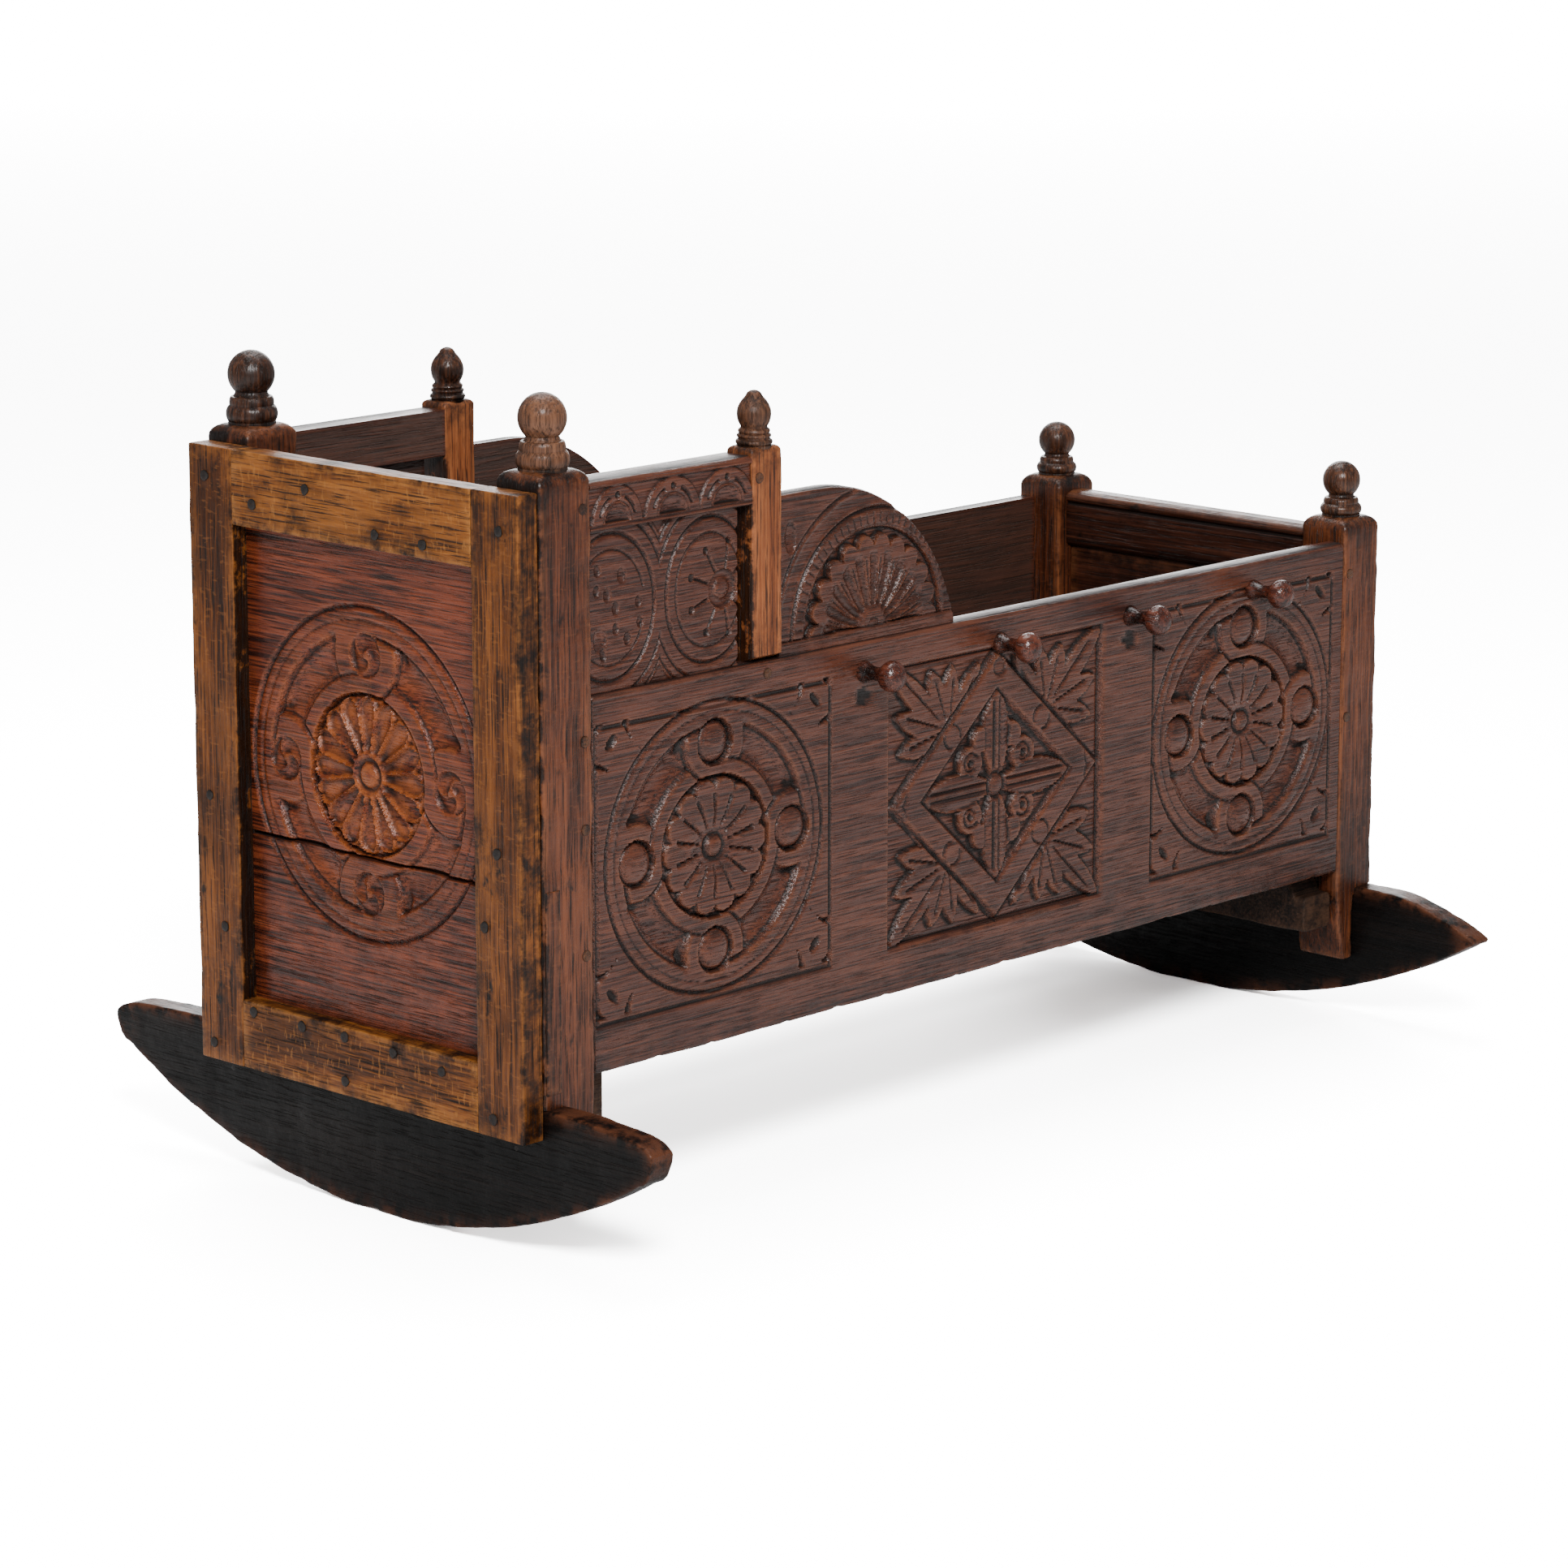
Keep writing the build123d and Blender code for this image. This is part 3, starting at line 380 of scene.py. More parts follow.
# %% The cradle's woods
BOARD = oak(
    "carved_board_oak", "X", (54, 31, 25), (84, 47, 36), (106, 61, 45), (136, 82, 56),
    gloss=0.20, blotch=0.28, shift=1, bands=0.25, fine=1.2, reach=12, shine=0.55, lumps=0.0007,
)
FRAME_UP = oak(
    "stile_oak", "Z", (46, 24, 10), (98, 54, 21), (146, 86, 38), (172, 108, 54),
    gloss=0.38, blotch=0.85, shift=2, rays=0.25, pore=0.85, shine=0.30, reach=12,
)
FRAME_ACROSS = oak(
    "head_rail_oak", "Y", (66, 36, 13), (130, 74, 29), (172, 106, 47), (188, 124, 64),
    gloss=0.38, blotch=0.65, shift=4, rays=0.4, pore=0.85, shine=0.30, reach=22,
)
PANEL = oak(
    "head_panel_oak", "Y", (48, 20, 12), (108, 50, 31), (138, 68, 42), (160, 86, 44),
    gloss=0.22, blotch=0.18, shift=6, pore=0.75, reach=14, bands=0.2, fine=1.2, shine=0.5, lumps=0.0007,
)
POST = oak(
    "corner_post_oak", "Z", (38, 21, 15), (88, 48, 31), (124, 70, 43), (160, 98, 60),
    gloss=0.32, blotch=0.7, shift=8, pore=0.85, shine=0.4, reach=10, rays=0.12,
)
HOOD_POST = oak(
    "short_post_oak", "Z", (90, 47, 25), (148, 82, 45), (178, 106, 62), (190, 118, 74),
    gloss=0.40, blotch=0.35, shift=9, pore=0.8, shine=0.4, reach=12,
)
ROCKER = oak(
    "blackened_rocker_oak", "Y", (9, 8, 8), (16, 14, 14), (28, 22, 20), (98, 60, 42),
    gloss=0.36, blotch=0.5, shift=10, shine=0.22,
)
INNER = oak(
    "cradle_floor_oak", "X", (22, 15, 12), (50, 35, 27), (76, 54, 42), (96, 68, 50),
    gloss=0.55, blotch=0.8, shift=12, shine=0.3,
)
CROSS = oak(
    "foot_end_oak", "Y", (34, 20, 16), (66, 37, 27), (92, 54, 39), (134, 84, 54),
    blotch=0.7, shift=13,
)
TURNED = oak(
    "turned_oak", "Z", (30, 19, 15), (74, 47, 35), (112, 72, 50), (146, 96, 64),
    gloss=0.22, blotch=0.6, shift=14,
)
WORN_TURNED = oak(
    "worn_turned_oak", "Z", (44, 28, 20), (96, 64, 47), (130, 90, 67), (150, 108, 82),
    gloss=0.34, blotch=0.4, shift=17, shine=0.35,
)
KNOB = oak(
    "knob_mahogany", "Y", (40, 20, 16), (80, 40, 30), (112, 62, 46), (132, 78, 58),
    gloss=0.12, blotch=0.3, shift=15, shine=0.6,
)
PEG = oak(
    "peg_oak_end", "Y", (34, 20, 13), (66, 38, 23), (96, 58, 34), (120, 78, 48), shift=16,
)
print("oak finishes:", [m.name for m in bpy.data.materials if "oak" in m.name])


# %% [markdown]
# ## Iron
#
# The nails were forged by hand and have gone black with a little brown rust. One noise drives
# colour, gloss and bump together, so that the rust sits where the surface is rough.

# %% Iron
def forged_iron():
    """Black hammered iron with a little brown rust in its hollows."""
    iron = Finish("forged_iron")
    patches = iron.noise(300, detail=4, roughness=0.7)
    colour = iron.ramp(patches, [
        (0.35, paint(26, 24, 25)), (0.55, paint(42, 37, 35)), (0.7, paint(70, 44, 30)),
    ])
    rubbed = iron.sum("MULTIPLY", iron.attribute("wear"), 0.35)
    iron.feed(iron.shader.inputs["Base Color"], iron.mix(rubbed, colour, paint(96, 92, 90)))
    iron.shader.inputs["Metallic"].default_value = 0.6
    iron.feed(iron.shader.inputs["Roughness"], iron.remap(patches, 0.3, 0.7, 0.42, 0.7))
    iron.feed(iron.shader.inputs["Normal"], iron.bump(patches, 0.0005))
    return iron.material


IRON = forged_iron()
print("iron nodes:", len(IRON.node_tree.nodes))


# %% [markdown]
# ## Squared timbers
#
# Posts, rails, bearers, floor boards and rockers are all sawn and planed sticks, so one function
# makes them: a rounded rectangle carried along the stick. Hand tools and wear never leave a face
# quite flat, so each side drifts inwards by a fraction of a millimetre on a slow wave, and the
# arrises grow rounder and sharper along the way. The drift is always inwards, which keeps the
# stick inside its CAD box.

# %% Timbers
def waver(t, seed, length=90.0):
    """A slow wave from 0 to 1 along t: the mean of three sines of shrinking length, seeded phases."""
    phases = np.random.default_rng(seed).uniform(0, 2 * np.pi, 3)
    lengths = length * np.array([1.0, 0.43, 0.21])
    waves = np.sin(2 * np.pi * np.asarray(t)[..., None] / lengths + phases) * np.array([0.5, 0.3, 0.2])
    return 0.5 + 0.5 * waves.sum(axis=-1)


def stations(low, high, ends, pitch):
    """Places along a stick: evenly spaced, and crowded towards both ends on a quarter turn."""
    turn = np.linspace(0, np.pi / 2, 6)
    first = low + ends[0] * (1 - np.cos(turn))
    last = high - ends[1] * (1 - np.cos(turn[::-1]))
    count = max(2, int((last[0] - first[-1]) / pitch))
    return np.concatenate([first, np.linspace(first[-1], last[0], count + 1)[1:-1], last])


def end_inset(t, low, high, ends):
    """How far an end's rounding has drawn the faces in: a quarter circle of radius ends."""
    inset = np.zeros_like(t)
    for distance, radius in ((t - low, ends[0]), (high - t, ends[1])):
        left = np.clip(radius - distance, 0, radius)
        inset = np.maximum(inset, radius - np.sqrt(np.maximum(radius**2 - left**2, 0)))
    return inset


def rounded_rings(a, b, radius, corner=5, side=7):
    """Rounded rectangles, one a row: quarter circles about the corner centres, joined by straight sides."""
    arcs = []
    for quarter, (along_a, along_b) in enumerate([(1, 1), (0, 1), (0, 0), (1, 0)]):
        turn = np.linspace(0, np.pi / 2, corner) + quarter * np.pi / 2
        centre_a = a[along_a] + (radius if along_a == 0 else -radius)
        centre_b = b[along_b] + (radius if along_b == 0 else -radius)
        arcs.append((centre_a[:, None] + radius[:, None] * np.cos(turn),
                     centre_b[:, None] + radius[:, None] * np.sin(turn)))
    share = np.linspace(0, 1, side + 2)[1:-1]
    parts = []
    for here, there in zip(arcs, arcs[1:] + arcs[:1]):
        bridge = [p[:, -1:] * (1 - share) + q[:, :1] * share for p, q in zip(here, there)]
        parts += [np.stack(here, axis=-1), np.stack(bridge, axis=-1)]
    return np.concatenate(parts, axis=1)


def evenly(amount):
    """A stain that is the same all over a stick."""
    return lambda points: np.full(len(points), amount)


def timber(name, length, x, y, z, finish, slot, ends=(1.5, 1.5), ease=2.2, drift=0.7, pitch=9.0,
           shape=None, corner=5, side=7, stain_and_shade=None, wear=None, dust=0.0, seed=0):
    """A stick whose length runs along axis 0, 1 or 2, inside the given box, in place of the CAD node of
    its name. shape(t, a, b) may alter the box of each section; the stain function of the points
    blackens the oak, with real stains and on the head stiles also painted shade; wear(points) bares it.
    ends are the rounding radii of its two ends, and ease that of its arrises."""
    spans = [x, y, z]
    a_axis, b_axis = (length + 1) % 3, (length + 2) % 3
    low, high = spans[length]
    t = stations(low, high, ends, pitch)
    a = [np.full_like(t, edge) for edge in spans[a_axis]]
    b = [np.full_like(t, edge) for edge in spans[b_axis]]
    if shape is not None:
        a, b = shape(t, a, b)
    inset = end_inset(t, low, high, ends)
    drifts = [drift * waver(t, seed * 10 + face) ** 2 for face in range(4)]
    a = [a[0] + inset + drifts[0], a[1] - inset - drifts[1]]
    b = [b[0] + inset + drifts[2], b[1] - inset - drifts[3]]
    radius = ease * (0.6 + 0.9 * waver(t, seed * 10 + 5, 60)) + 0.3 * inset
    radius = np.minimum(radius, 0.48 * np.minimum(a[1] - a[0], b[1] - b[0]))
    rings = rounded_rings(a, b, radius, corner, side)
    points = np.zeros(rings.shape[:2] + (3,))
    points[..., length] = t[:, None]
    points[..., a_axis] = rings[..., 0]
    points[..., b_axis] = rings[..., 1]
    to_side = [np.minimum(rings[..., k] - edge[0][:, None], edge[1][:, None] - rings[..., k])
               for k, edge in enumerate((a, b))]
    to_end = np.minimum(t - low, high - t)[:, None]
    arris = np.minimum(np.maximum(*to_side), np.maximum(to_end, np.minimum(*to_side)))
    rows, columns = rings.shape[:2]
    points = points.reshape(-1, 3)
    caps = [np.arange(columns), np.arange(columns) + (rows - 1) * columns]
    rubbed = np.exp(-np.maximum(arris.ravel(), 0) / 2.5) + (wear(points) if wear else 0)
    return make_piece(name, points, grid_faces(rows, columns), caps, finish, [name], wear=rubbed,
                      stain_and_shade=stain_and_shade(points) if stain_and_shade else None, dust=np.full(len(points), dust))


print("a waver from 0 to 90 mm:", waver(np.linspace(0, 90, 4), 1).round(2))


# %% [markdown]
# ## Posts
#
# Each corner post is one stick. Its outer half stops on the rocker and its inner half runs on
# down behind it, so below the seat the section steps in. The head posts' shoulders are worn to
# a 9 mm rounding under the finials.

# %% Posts
SHOULDER = 9.0
FOOT_TAPER = 9.0
HEAD_POST_TOP, FOOT_POST_TOP, HOOD_POST_TOP = 545.0, 407.0, 540.0


def notched(seat, face, outside, from_low, taper):
    """A post's shape: below the seat, the side next to the rocker steps back to the rocker's face, and
    the other side tapers in, by the taper at the very foot."""
    def shape(t, x, y):
        beside, free = (0, 1) if from_low else (1, 0)
        x[beside] = np.where(t < seat, face, outside)
        x[free] = x[free] + taper * np.clip((seat - t) / (seat - t[0]), 0, 1) ** 1.5
        return x, y
    return shape


def grime(floor, ceiling, seed, joint, joint_top):
    """Soot that rises up a post from its foot, gathers below its head, and fills the line at x = joint
    up to a height."""
    def stain_and_shade(points):
        low = np.exp(-np.maximum(points[:, 2] - floor, 0) / 26)
        high = np.exp(-np.maximum(ceiling - points[:, 2], 0) / 18)
        blackening = (1.2 * low + 1.6 * high) * (0.5 + 0.5 * waver(points[:, 2], seed, 50))
        line = 3.0 * np.exp(-np.abs(points[:, 0] - joint) / 1.2) * (points[:, 2] < joint_top)
        return np.maximum(blackening, line)
    return stain_and_shade


def corner_post(end, side, sign):
    """One of the four posts at the corners, notched over its rocker."""
    name = f"{end}_post_{side}"
    x, y, z = sizes(name)
    rocker = sizes(f"rocker_{end}")[0]
    seat = sizes("rocker_head")[2][1]
    if end == "head":
        top, seed, joint_top = HEAD_POST_TOP, 3 * sign + 20, HEAD_POST_TOP
        shape = notched(seat, rocker[1], x[0], True, 0.0)
    else:
        top, seed, joint_top = FOOT_POST_TOP, 3 * sign + 30, seat
        shape = notched(seat, rocker[0], x[1], False, FOOT_TAPER)
    timber(name, 2, x, y, (z[0], top), POST, "post_oak", ends=(2.0, SHOULDER), ease=3.0, drift=0.8,
           pitch=7.0, shape=shape, corner=6, stain_and_shade=grime(z[0], top, seed, x[0], joint_top), seed=seed)


print("the posts rest on rockers", round(sizes("rocker_head")[2][1]), "mm high")


# %% [markdown]
# ## Hood posts
#
# A hood post is a short stick of newer, more golden oak. It stands on the side board and laps down
# the board's inner face, so below the board's top only its inner part is there.

# %% Hood posts
def hood_post(side, sign):
    """A short post, from its lap behind the side board to its acorn."""
    name = f"hood_post_{side}"
    x, y, z = sizes(name)
    _, board_y, (_, board_top) = sizes(f"side_board_{side}")
    outside = 1 if sign > 0 else 0

    def lapped(t, across, y_pair):
        """Below the board's top, the outer face steps in to the board's inner one."""
        y_pair[outside] = np.where(t < board_top, board_y[1 - outside], y[outside])
        return across, y_pair

    timber(name, 2, x, y, (z[0], HOOD_POST_TOP), HOOD_POST, "hood_post_oak", ends=(1.5, 4.0), ease=1.6,
           drift=0.5, pitch=7.0, shape=lapped, seed=40 + sign,
           stain_and_shade=grime(board_top, HOOD_POST_TOP, 4, x[0], sizes(f"hood_rail_{side}")[2][0]))


for side, sign in SIDES.items():
    corner_post("head", side, sign)
    corner_post("foot", side, sign)
    hood_post(side, sign)


# %% [markdown]
# ## Carved boards
#
# The carver worked each board flat on the bench: lines struck with a V-tool, troughs scooped
# with a gouge, and grounds sunk a few millimetres below the face. All of that is a height above
# every point of the face, so a carved board is a fine grid whose height is a sum and minimum of
# a few cutter strokes. Each stroke is a function of the distance to a line or a circle.

# %% Cutters
def ease_in(distance, width):
    """0 up to distance 0, then a smooth S-shaped rise to 1 at the width."""
    share = np.clip(distance / width, 0, 1)
    return share * share * (3 - 2 * share)


def v_cut(distance, half_width, depth):
    """A V-tool stroke along the line where distance is 0."""
    return -depth * np.clip(1 - np.abs(distance) / half_width, 0, 1)


def gouge(distance, half_width, depth):
    """A round-bottomed stroke: half an ellipse across, deepest where distance is 0."""
    return -depth * np.sqrt(np.clip(1 - (distance / half_width) ** 2, 0, 1))


def dome(distance, radius, depth):
    """A bead left standing in a sunk ground: -depth at its rim, rising to the face in its middle."""
    return -depth * (1 - np.sqrt(np.clip(1 - (distance / radius) ** 2, 0, 1)))


def spoke_distance(radius, turn, count, offset=0.0):
    """Distance to the nearest of a number of evenly spaced lines through the centre."""
    phase = turn * count / (2 * np.pi) + offset
    return radius * np.abs(np.sin((phase - np.round(phase)) * 2 * np.pi / count))


def leaf_edge(x, z, root, angle, length, half_width):
    """Distance outside a leaf from its root: its half width is a power of a sine of the way along."""
    run, rise = np.cos(np.radians(angle)), np.sin(np.radians(angle))
    forward = ((x - root[0]) * run + (z - root[1]) * rise) / length
    sideways = (z - root[1]) * run - (x - root[0]) * rise
    width = half_width * np.sin(np.pi * np.clip(forward, 0, 1) ** 1.15) ** 0.75
    beyond = np.maximum(np.abs(forward - 0.5) - 0.5, 0) * length
    return np.abs(sideways) - width + beyond, sideways, forward


def soften(height, times):
    """Each point averaged with its neighbours along both grid directions, a number of times."""
    for _ in range(times):
        height = np.pad(height, 1, mode="edge")
        height = 0.5 * height[1:-1] + 0.25 * (height[:-2] + height[2:])
        height = 0.5 * height[:, 1:-1] + 0.25 * (height[:, :-2] + height[:, 2:])
    return height


def edge_fall(distance, radius):
    """The drop of a rounded arris, as a quarter circle, at a distance in from the board's edge."""
    left = np.clip(radius - distance, 0, radius)
    return -(radius - np.sqrt(np.maximum(radius**2 - left**2, 0)))


print("a gouge cut 8 mm wide:", gouge(np.linspace(-4, 4, 5), 4, 3).round(2))


# %% [markdown]
# ## The back of a board
#
# A board's face is the fine grid. Its back only needs every fourth line, because it is plain, so
# the outer cells of the back are many-sided faces that take in the fine points of the rim. The
# face's own lines also crowd where the carving is busy, and spread where the board is plain.

# %% The back of a board
BACK_PITCH = 4


def fine_lines(low, high, fine, coarse, busy):
    """Grid lines, fine inside the busy stretches and coarse elsewhere, a multiple of BACK_PITCH cells."""
    places = np.linspace(low, high, 4000)
    wish = np.full(4000, float(coarse))
    for first, last in busy:
        wish[(places > first - 2) & (places < last + 2)] = fine
    wish[(places < low + 4) | (places > high - 4)] = min(fine, 1.0)
    travelled = np.concatenate([[0], np.cumsum(np.diff(places) / wish[1:])])
    count = int(round(travelled[-1] / BACK_PITCH)) * BACK_PITCH
    return np.interp(np.linspace(0, travelled[-1], count + 1), travelled, places)


def back_faces(rows, columns, first_back, rim):
    """The back's cells: quads inside, and many-sided faces along the rim."""
    n_row, n_column = (rows - 1) // BACK_PITCH, (columns - 1) // BACK_PITCH

    def back(i, j):
        if i in (0, n_row) or j in (0, n_column):
            return rim[(i * BACK_PITCH, j * BACK_PITCH)]
        return first_back + (i - 1) * (n_column - 1) + j - 1

    def edge(i, j, k, m):
        """Points from back point (i, j) towards (k, m), the last left out; all of them on the rim."""
        outer = (i == k and i in (0, n_row)) or (j == m and j in (0, n_column))
        if not outer:
            return [back(i, j)]
        return [rim[(i * BACK_PITCH + step * (k - i), j * BACK_PITCH + step * (m - j))]
                for step in range(BACK_PITCH)]

    cells = []
    for i in range(n_row):
        for j in range(n_column):
            ring = [(i, j), (i, j + 1), (i + 1, j + 1), (i + 1, j), (i, j)]
            cells.append([p for (a, b), (c, d) in zip(ring, ring[1:]) for p in edge(a, b, c, d)])
    return cells


def rim_path(rows, columns):
    """The grid's border points in order round it."""
    return ([(0, j) for j in range(columns - 1)] + [(i, columns - 1) for i in range(rows - 1)]
            + [(rows - 1, j) for j in range(columns - 1, 0, -1)] + [(i, 0) for i in range(rows - 1, 0, -1)])


# %% [markdown]
# ## The face of a board
#
# The crevices are found by comparing the height with a softened copy of itself: what lies below
# the copy is a crevice, darkened for the dirt it holds and as painted shade, and what stands above
# it is a ridge that hands have rubbed. A wall of quads joins the face's rim to the back.

# %% The face of a board
def carved_board(name, across, up, height, thickness, place, finish, face_stain_and_shade,
                 rubbed=0.0, dirt_and_shade=1.0):
    """A board whose face is the grid (across, up, height) and whose back is plain and dusty, in place of
    the CAD node of its name. place turns board coordinates, along, up and out from the face, into the
    cradle's X, Y and Z."""
    rows, columns = height.shape
    hollowness = soften(height, 4) - height
    # Crevices darkened as dirt and painted shade, by how far they lie below the softened face.
    cut = dirt_and_shade * np.clip(hollowness * 2.2 - 0.35, 0, 1)
    wear = np.clip(-hollowness * 0.9 - 0.1, 0, 1) + rubbed
    face = np.stack([across, up, height], axis=-1).reshape(-1, 3)
    path = rim_path(rows, columns)
    rim_index = {key: rows * columns + n for n, key in enumerate(path)}
    front_rim = np.array([i * columns + j for i, j in path])
    rim = face[front_rim].copy()
    rim[:, 2] = -thickness
    inner = slice(BACK_PITCH, -BACK_PITCH, BACK_PITCH)
    back_across, back_up = across[inner, inner].ravel(), up[inner, inner].ravel()
    hollows = 0.8 * waver(back_across + 2.1 * back_up, len(name), 120) * waver(back_up, 5, 70)
    back = np.stack([back_across, back_up, -thickness + hollows], axis=-1)
    points = place(*np.concatenate([face, rim, back]).T)
    ahead = np.roll(np.arange(len(path)), -1)
    walls = np.stack([front_rim, front_rim[ahead], rows * columns + ahead,
                      rows * columns + np.arange(len(path))], axis=-1)
    quads = np.concatenate([grid_faces(rows, columns, closed=False)[:, ::-1], walls])
    cells = back_faces(rows, columns, rows * columns + len(path), rim_index)
    plain = np.array([cell for cell in cells if len(cell) == 4])
    quads = np.concatenate([quads, plain[:, ::-1]])
    caps = [cell[::-1] for cell in cells if len(cell) != 4]
    rest = np.zeros(len(rim) + len(back))
    dust = np.zeros(len(points))
    dust[rows * columns + len(rim):] = 1.0
    cut, wear, stain_and_shade = (np.concatenate([grid.ravel(), rest]) for grid in (cut, wear, face_stain_and_shade))
    return make_piece(name, points, quads, caps, finish, [name], cut, wear, stain_and_shade, dust)


def on_side(sign, y_span):
    """Board coordinates on a side of the cradle: out from the face is away from the long axis."""
    face = max(np.abs(y_span))
    return lambda along, up, out: np.stack([along, sign * (face + out), up], axis=-1)


print("back cells of a 9 by 9 grid:", len(back_faces(9, 9, 0, {key: 0 for key in rim_path(9, 9)})))


# %% [markdown]
# ## The roundel
#
# Three of the cradle's carvings are the same figure. A strap rings a rosette, four loops swing
# out from it to an outer ring, and the spaces between are scooped into troughs. Straps are
# regions where a distance is below zero: the union of rings is the smallest of their distances.
# In the side boards each loop holds a bead, and in the head panel a whorl of three blades.

# %% Roundel
ROUNDEL = 106.0  # outer radius for which the distances inside the figure are written
INNER_RING = (52.0, 64.0)
OUTER_RING = (88.0, 106.0)
LOOP_AT, LOOP_R, BEAD_R = 76.0, 29.0, 15.5


def rosette(r, turn, petals, fluted):
    """Petals with scalloped ends, cut apart with wedges, or scooped into spoon-shaped flutes."""
    scallop = 41.5 + 8.0 * np.abs(np.cos(turn * petals / 2)) ** 0.5
    ground = -3.4 * ease_in(r - scallop, 1.4)
    if fluted:
        half = np.minimum(r, 42) * np.tan(np.pi / petals) * 0.9
        vein = spoke_distance(r, turn, petals)
        reach = np.where(r > 42, np.sqrt(np.maximum(half**2 - (r - 42) ** 2, 0.01)), half)
        petal = gouge(vein, reach, 5.2) * ease_in(r - 11, 8)
    else:
        wedge = v_cut(spoke_distance(r, turn, petals, 0.5), 0.5 + 0.07 * np.maximum(r - 14, 0), 3.0)
        petal = wedge * ease_in(r - 13, 3) * ease_in(39 - r, 1.2) - 2.4 * (1 - ease_in(r - 9, 20))
    boss = np.where(r < 8, dome(r, 8, 4.0) + 0.6, -3.8 * (1 - ease_in(r - 9.5, 5)))
    return np.where(r < 9.5, boss, np.minimum(np.minimum(petal, ground), boss))


def roundel(x, z, radius, petals=14, fluted=False):
    """The height of the whole figure about its centre; 0 outside it. Going clockwise, the outer ring
    passes outside each loop's bead and curls round it, and the inner ring starts from the strap
    that comes round the bead's other side."""
    x, z = x * ROUNDEL / radius, z * ROUNDEL / radius
    r, turn = np.hypot(x, z), np.arctan2(z, x)
    deep = 6.0 if fluted else 7.0
    inside = np.minimum(r - INNER_RING[1], OUTER_RING[0] - r)
    outer_line = v_cut(r - OUTER_RING[0], 2.3, 3.2)
    inner_line = v_cut(r - INNER_RING[1], 1.8, 2.0)
    strap_lines, beads = np.zeros_like(r), np.zeros_like(r)
    for quarter in range(4):
        swing = quarter * np.pi / 2
        out = x * np.cos(swing) + z * np.sin(swing) - LOOP_AT
        ahead = x * np.sin(swing) - z * np.cos(swing)
        q = np.where(out > -LOOP_AT, np.hypot(out, ahead), 999.0)
        inside = np.minimum(inside, q - LOOP_R)
        outer_line = np.where((q < LOOP_R) & (ahead > 0), 0, outer_line)
        inner_line = np.where((q < LOOP_R) & (ahead < 0), 0, inner_line)
        behind_edge = (ahead < 10) & (r > INNER_RING[0]) & (r < OUTER_RING[0])
        ahead_edge = (ahead >= 10) & (r > INNER_RING[1]) & (r < OUTER_RING[0])
        strap_lines += np.where(behind_edge, v_cut(q - LOOP_R, 2.2, 2.8), 0)
        strap_lines += np.where(ahead_edge, v_cut(q - LOOP_R, 1.8, 1.6), 0)
        crescent = np.exp(-((q - LOOP_R - 3.5) / 2.8) ** 2) * np.exp(-((out - 1) / 8) ** 2)
        strap_lines += -np.where(ahead > 0, 3.2, 2.2) * crescent
        if fluted:
            spin = np.arctan2(ahead, out)
            blades = 0.15 + 0.85 * np.abs(np.sin(1.5 * spin + 0.16 * q)) ** 0.8
            beads += np.where(q < 14.5, -3.6 * blades * ease_in(q - 1.5, 3) * ease_in(14.5 - q, 1.6), 0)
        else:
            rim = 6.2 + 1.2 * np.clip(ahead / np.maximum(q, 1), -1, 1)
            bead = 0.8 - rim * (1 - np.sqrt(np.clip(1 - (q / BEAD_R) ** 2, 0, 1)))
            around = -rim * (1 - ease_in(q - BEAD_R, 2.2)) * (q < BEAD_R + 2.2)
            beads += np.where(q < BEAD_R, bead, around)
    bead_zone = beads != 0
    trough = gouge(12 - np.minimum(inside, 12), 12, deep) * (inside > 0)
    height = trough + np.where(bead_zone, 0, outer_line + inner_line) + strap_lines + beads
    height = np.where(r < INNER_RING[0], rosette(r, turn, petals, fluted), height)
    height += v_cut(r - 51.0, 2.0, 2.6)
    return height + v_cut(r - OUTER_RING[1], 2.2, 2.8) + v_cut(r - 98, 1.5, 0.9)


print("roundel depth at its trough:", roundel(np.array([[54.0]]), np.array([[54.0]]), 106).round(2))


# %% [markdown]
# ## The squares of the side boards
#
# Each side board has three square fields struck with a V-tool. The outer two hold a roundel with
# a small pierced leaf in every corner. The middle one holds a lozenge: a flat band round a
# four-leaved cross and its scrolls, with a spray of leaves in each spandrel.

# %% Squares
FAR = 99.0  # a distance in millimetres that is beyond every cut


def border(x, z, half_x, half_z):
    """The V-cut frame of a field."""
    return v_cut(np.maximum(np.abs(x) - half_x, np.abs(z) - half_z), 2.2, 2.2)


def corner_leaves(x, z, half_x, half_z, radius):
    """A round leaf with an eye in each corner of the field, parted from it by two wedge-shaped cuts."""
    across, up = half_x - np.abs(x), half_z - np.abs(z)
    height = np.zeros_like(x)
    for first, second in ((across, up), (up, across)):
        half_width = 3.4 * np.clip(1 - second / 14, 0, 1)
        wedge = np.clip(1 - np.abs(first - 29 - 0.03 * second**2) / np.maximum(half_width, 0.1), 0, 1)
        height -= 3.8 * wedge * (second > 0)
    corner = np.hypot(12 - across, 12 - up) - 12
    height -= 2.8 * ease_in(corner, 1.2) * ((across < 12) & (up < 12) & (across > 0) & (up > 0))
    eye = np.hypot((across - 15 + up - 14) * 0.7, (across - up - 1) * 0.34)
    height += gouge(eye, 3.4, 3.2)
    return np.where(np.hypot(x, z) > radius + 1, height, 0)


def roundel_square(x, z, half_x, half_z, drop):
    """A roundel a little above the middle of its square, wider than tall, filling the square's height."""
    radius = half_z + 2.5
    figure = roundel(x * 0.965, z - drop, radius)
    figure += corner_leaves(x, z - drop, half_x, half_z + 2, radius)
    return figure + border(x, z, half_x, half_z + 3)


# %% [markdown]
# ## The lozenge
#
# Its leaves are drawn once, in one quarter of the square, because taking the size of x and z
# without their signs repeats them in the other three. Where leaves overlap, the one carved first
# lies on top.

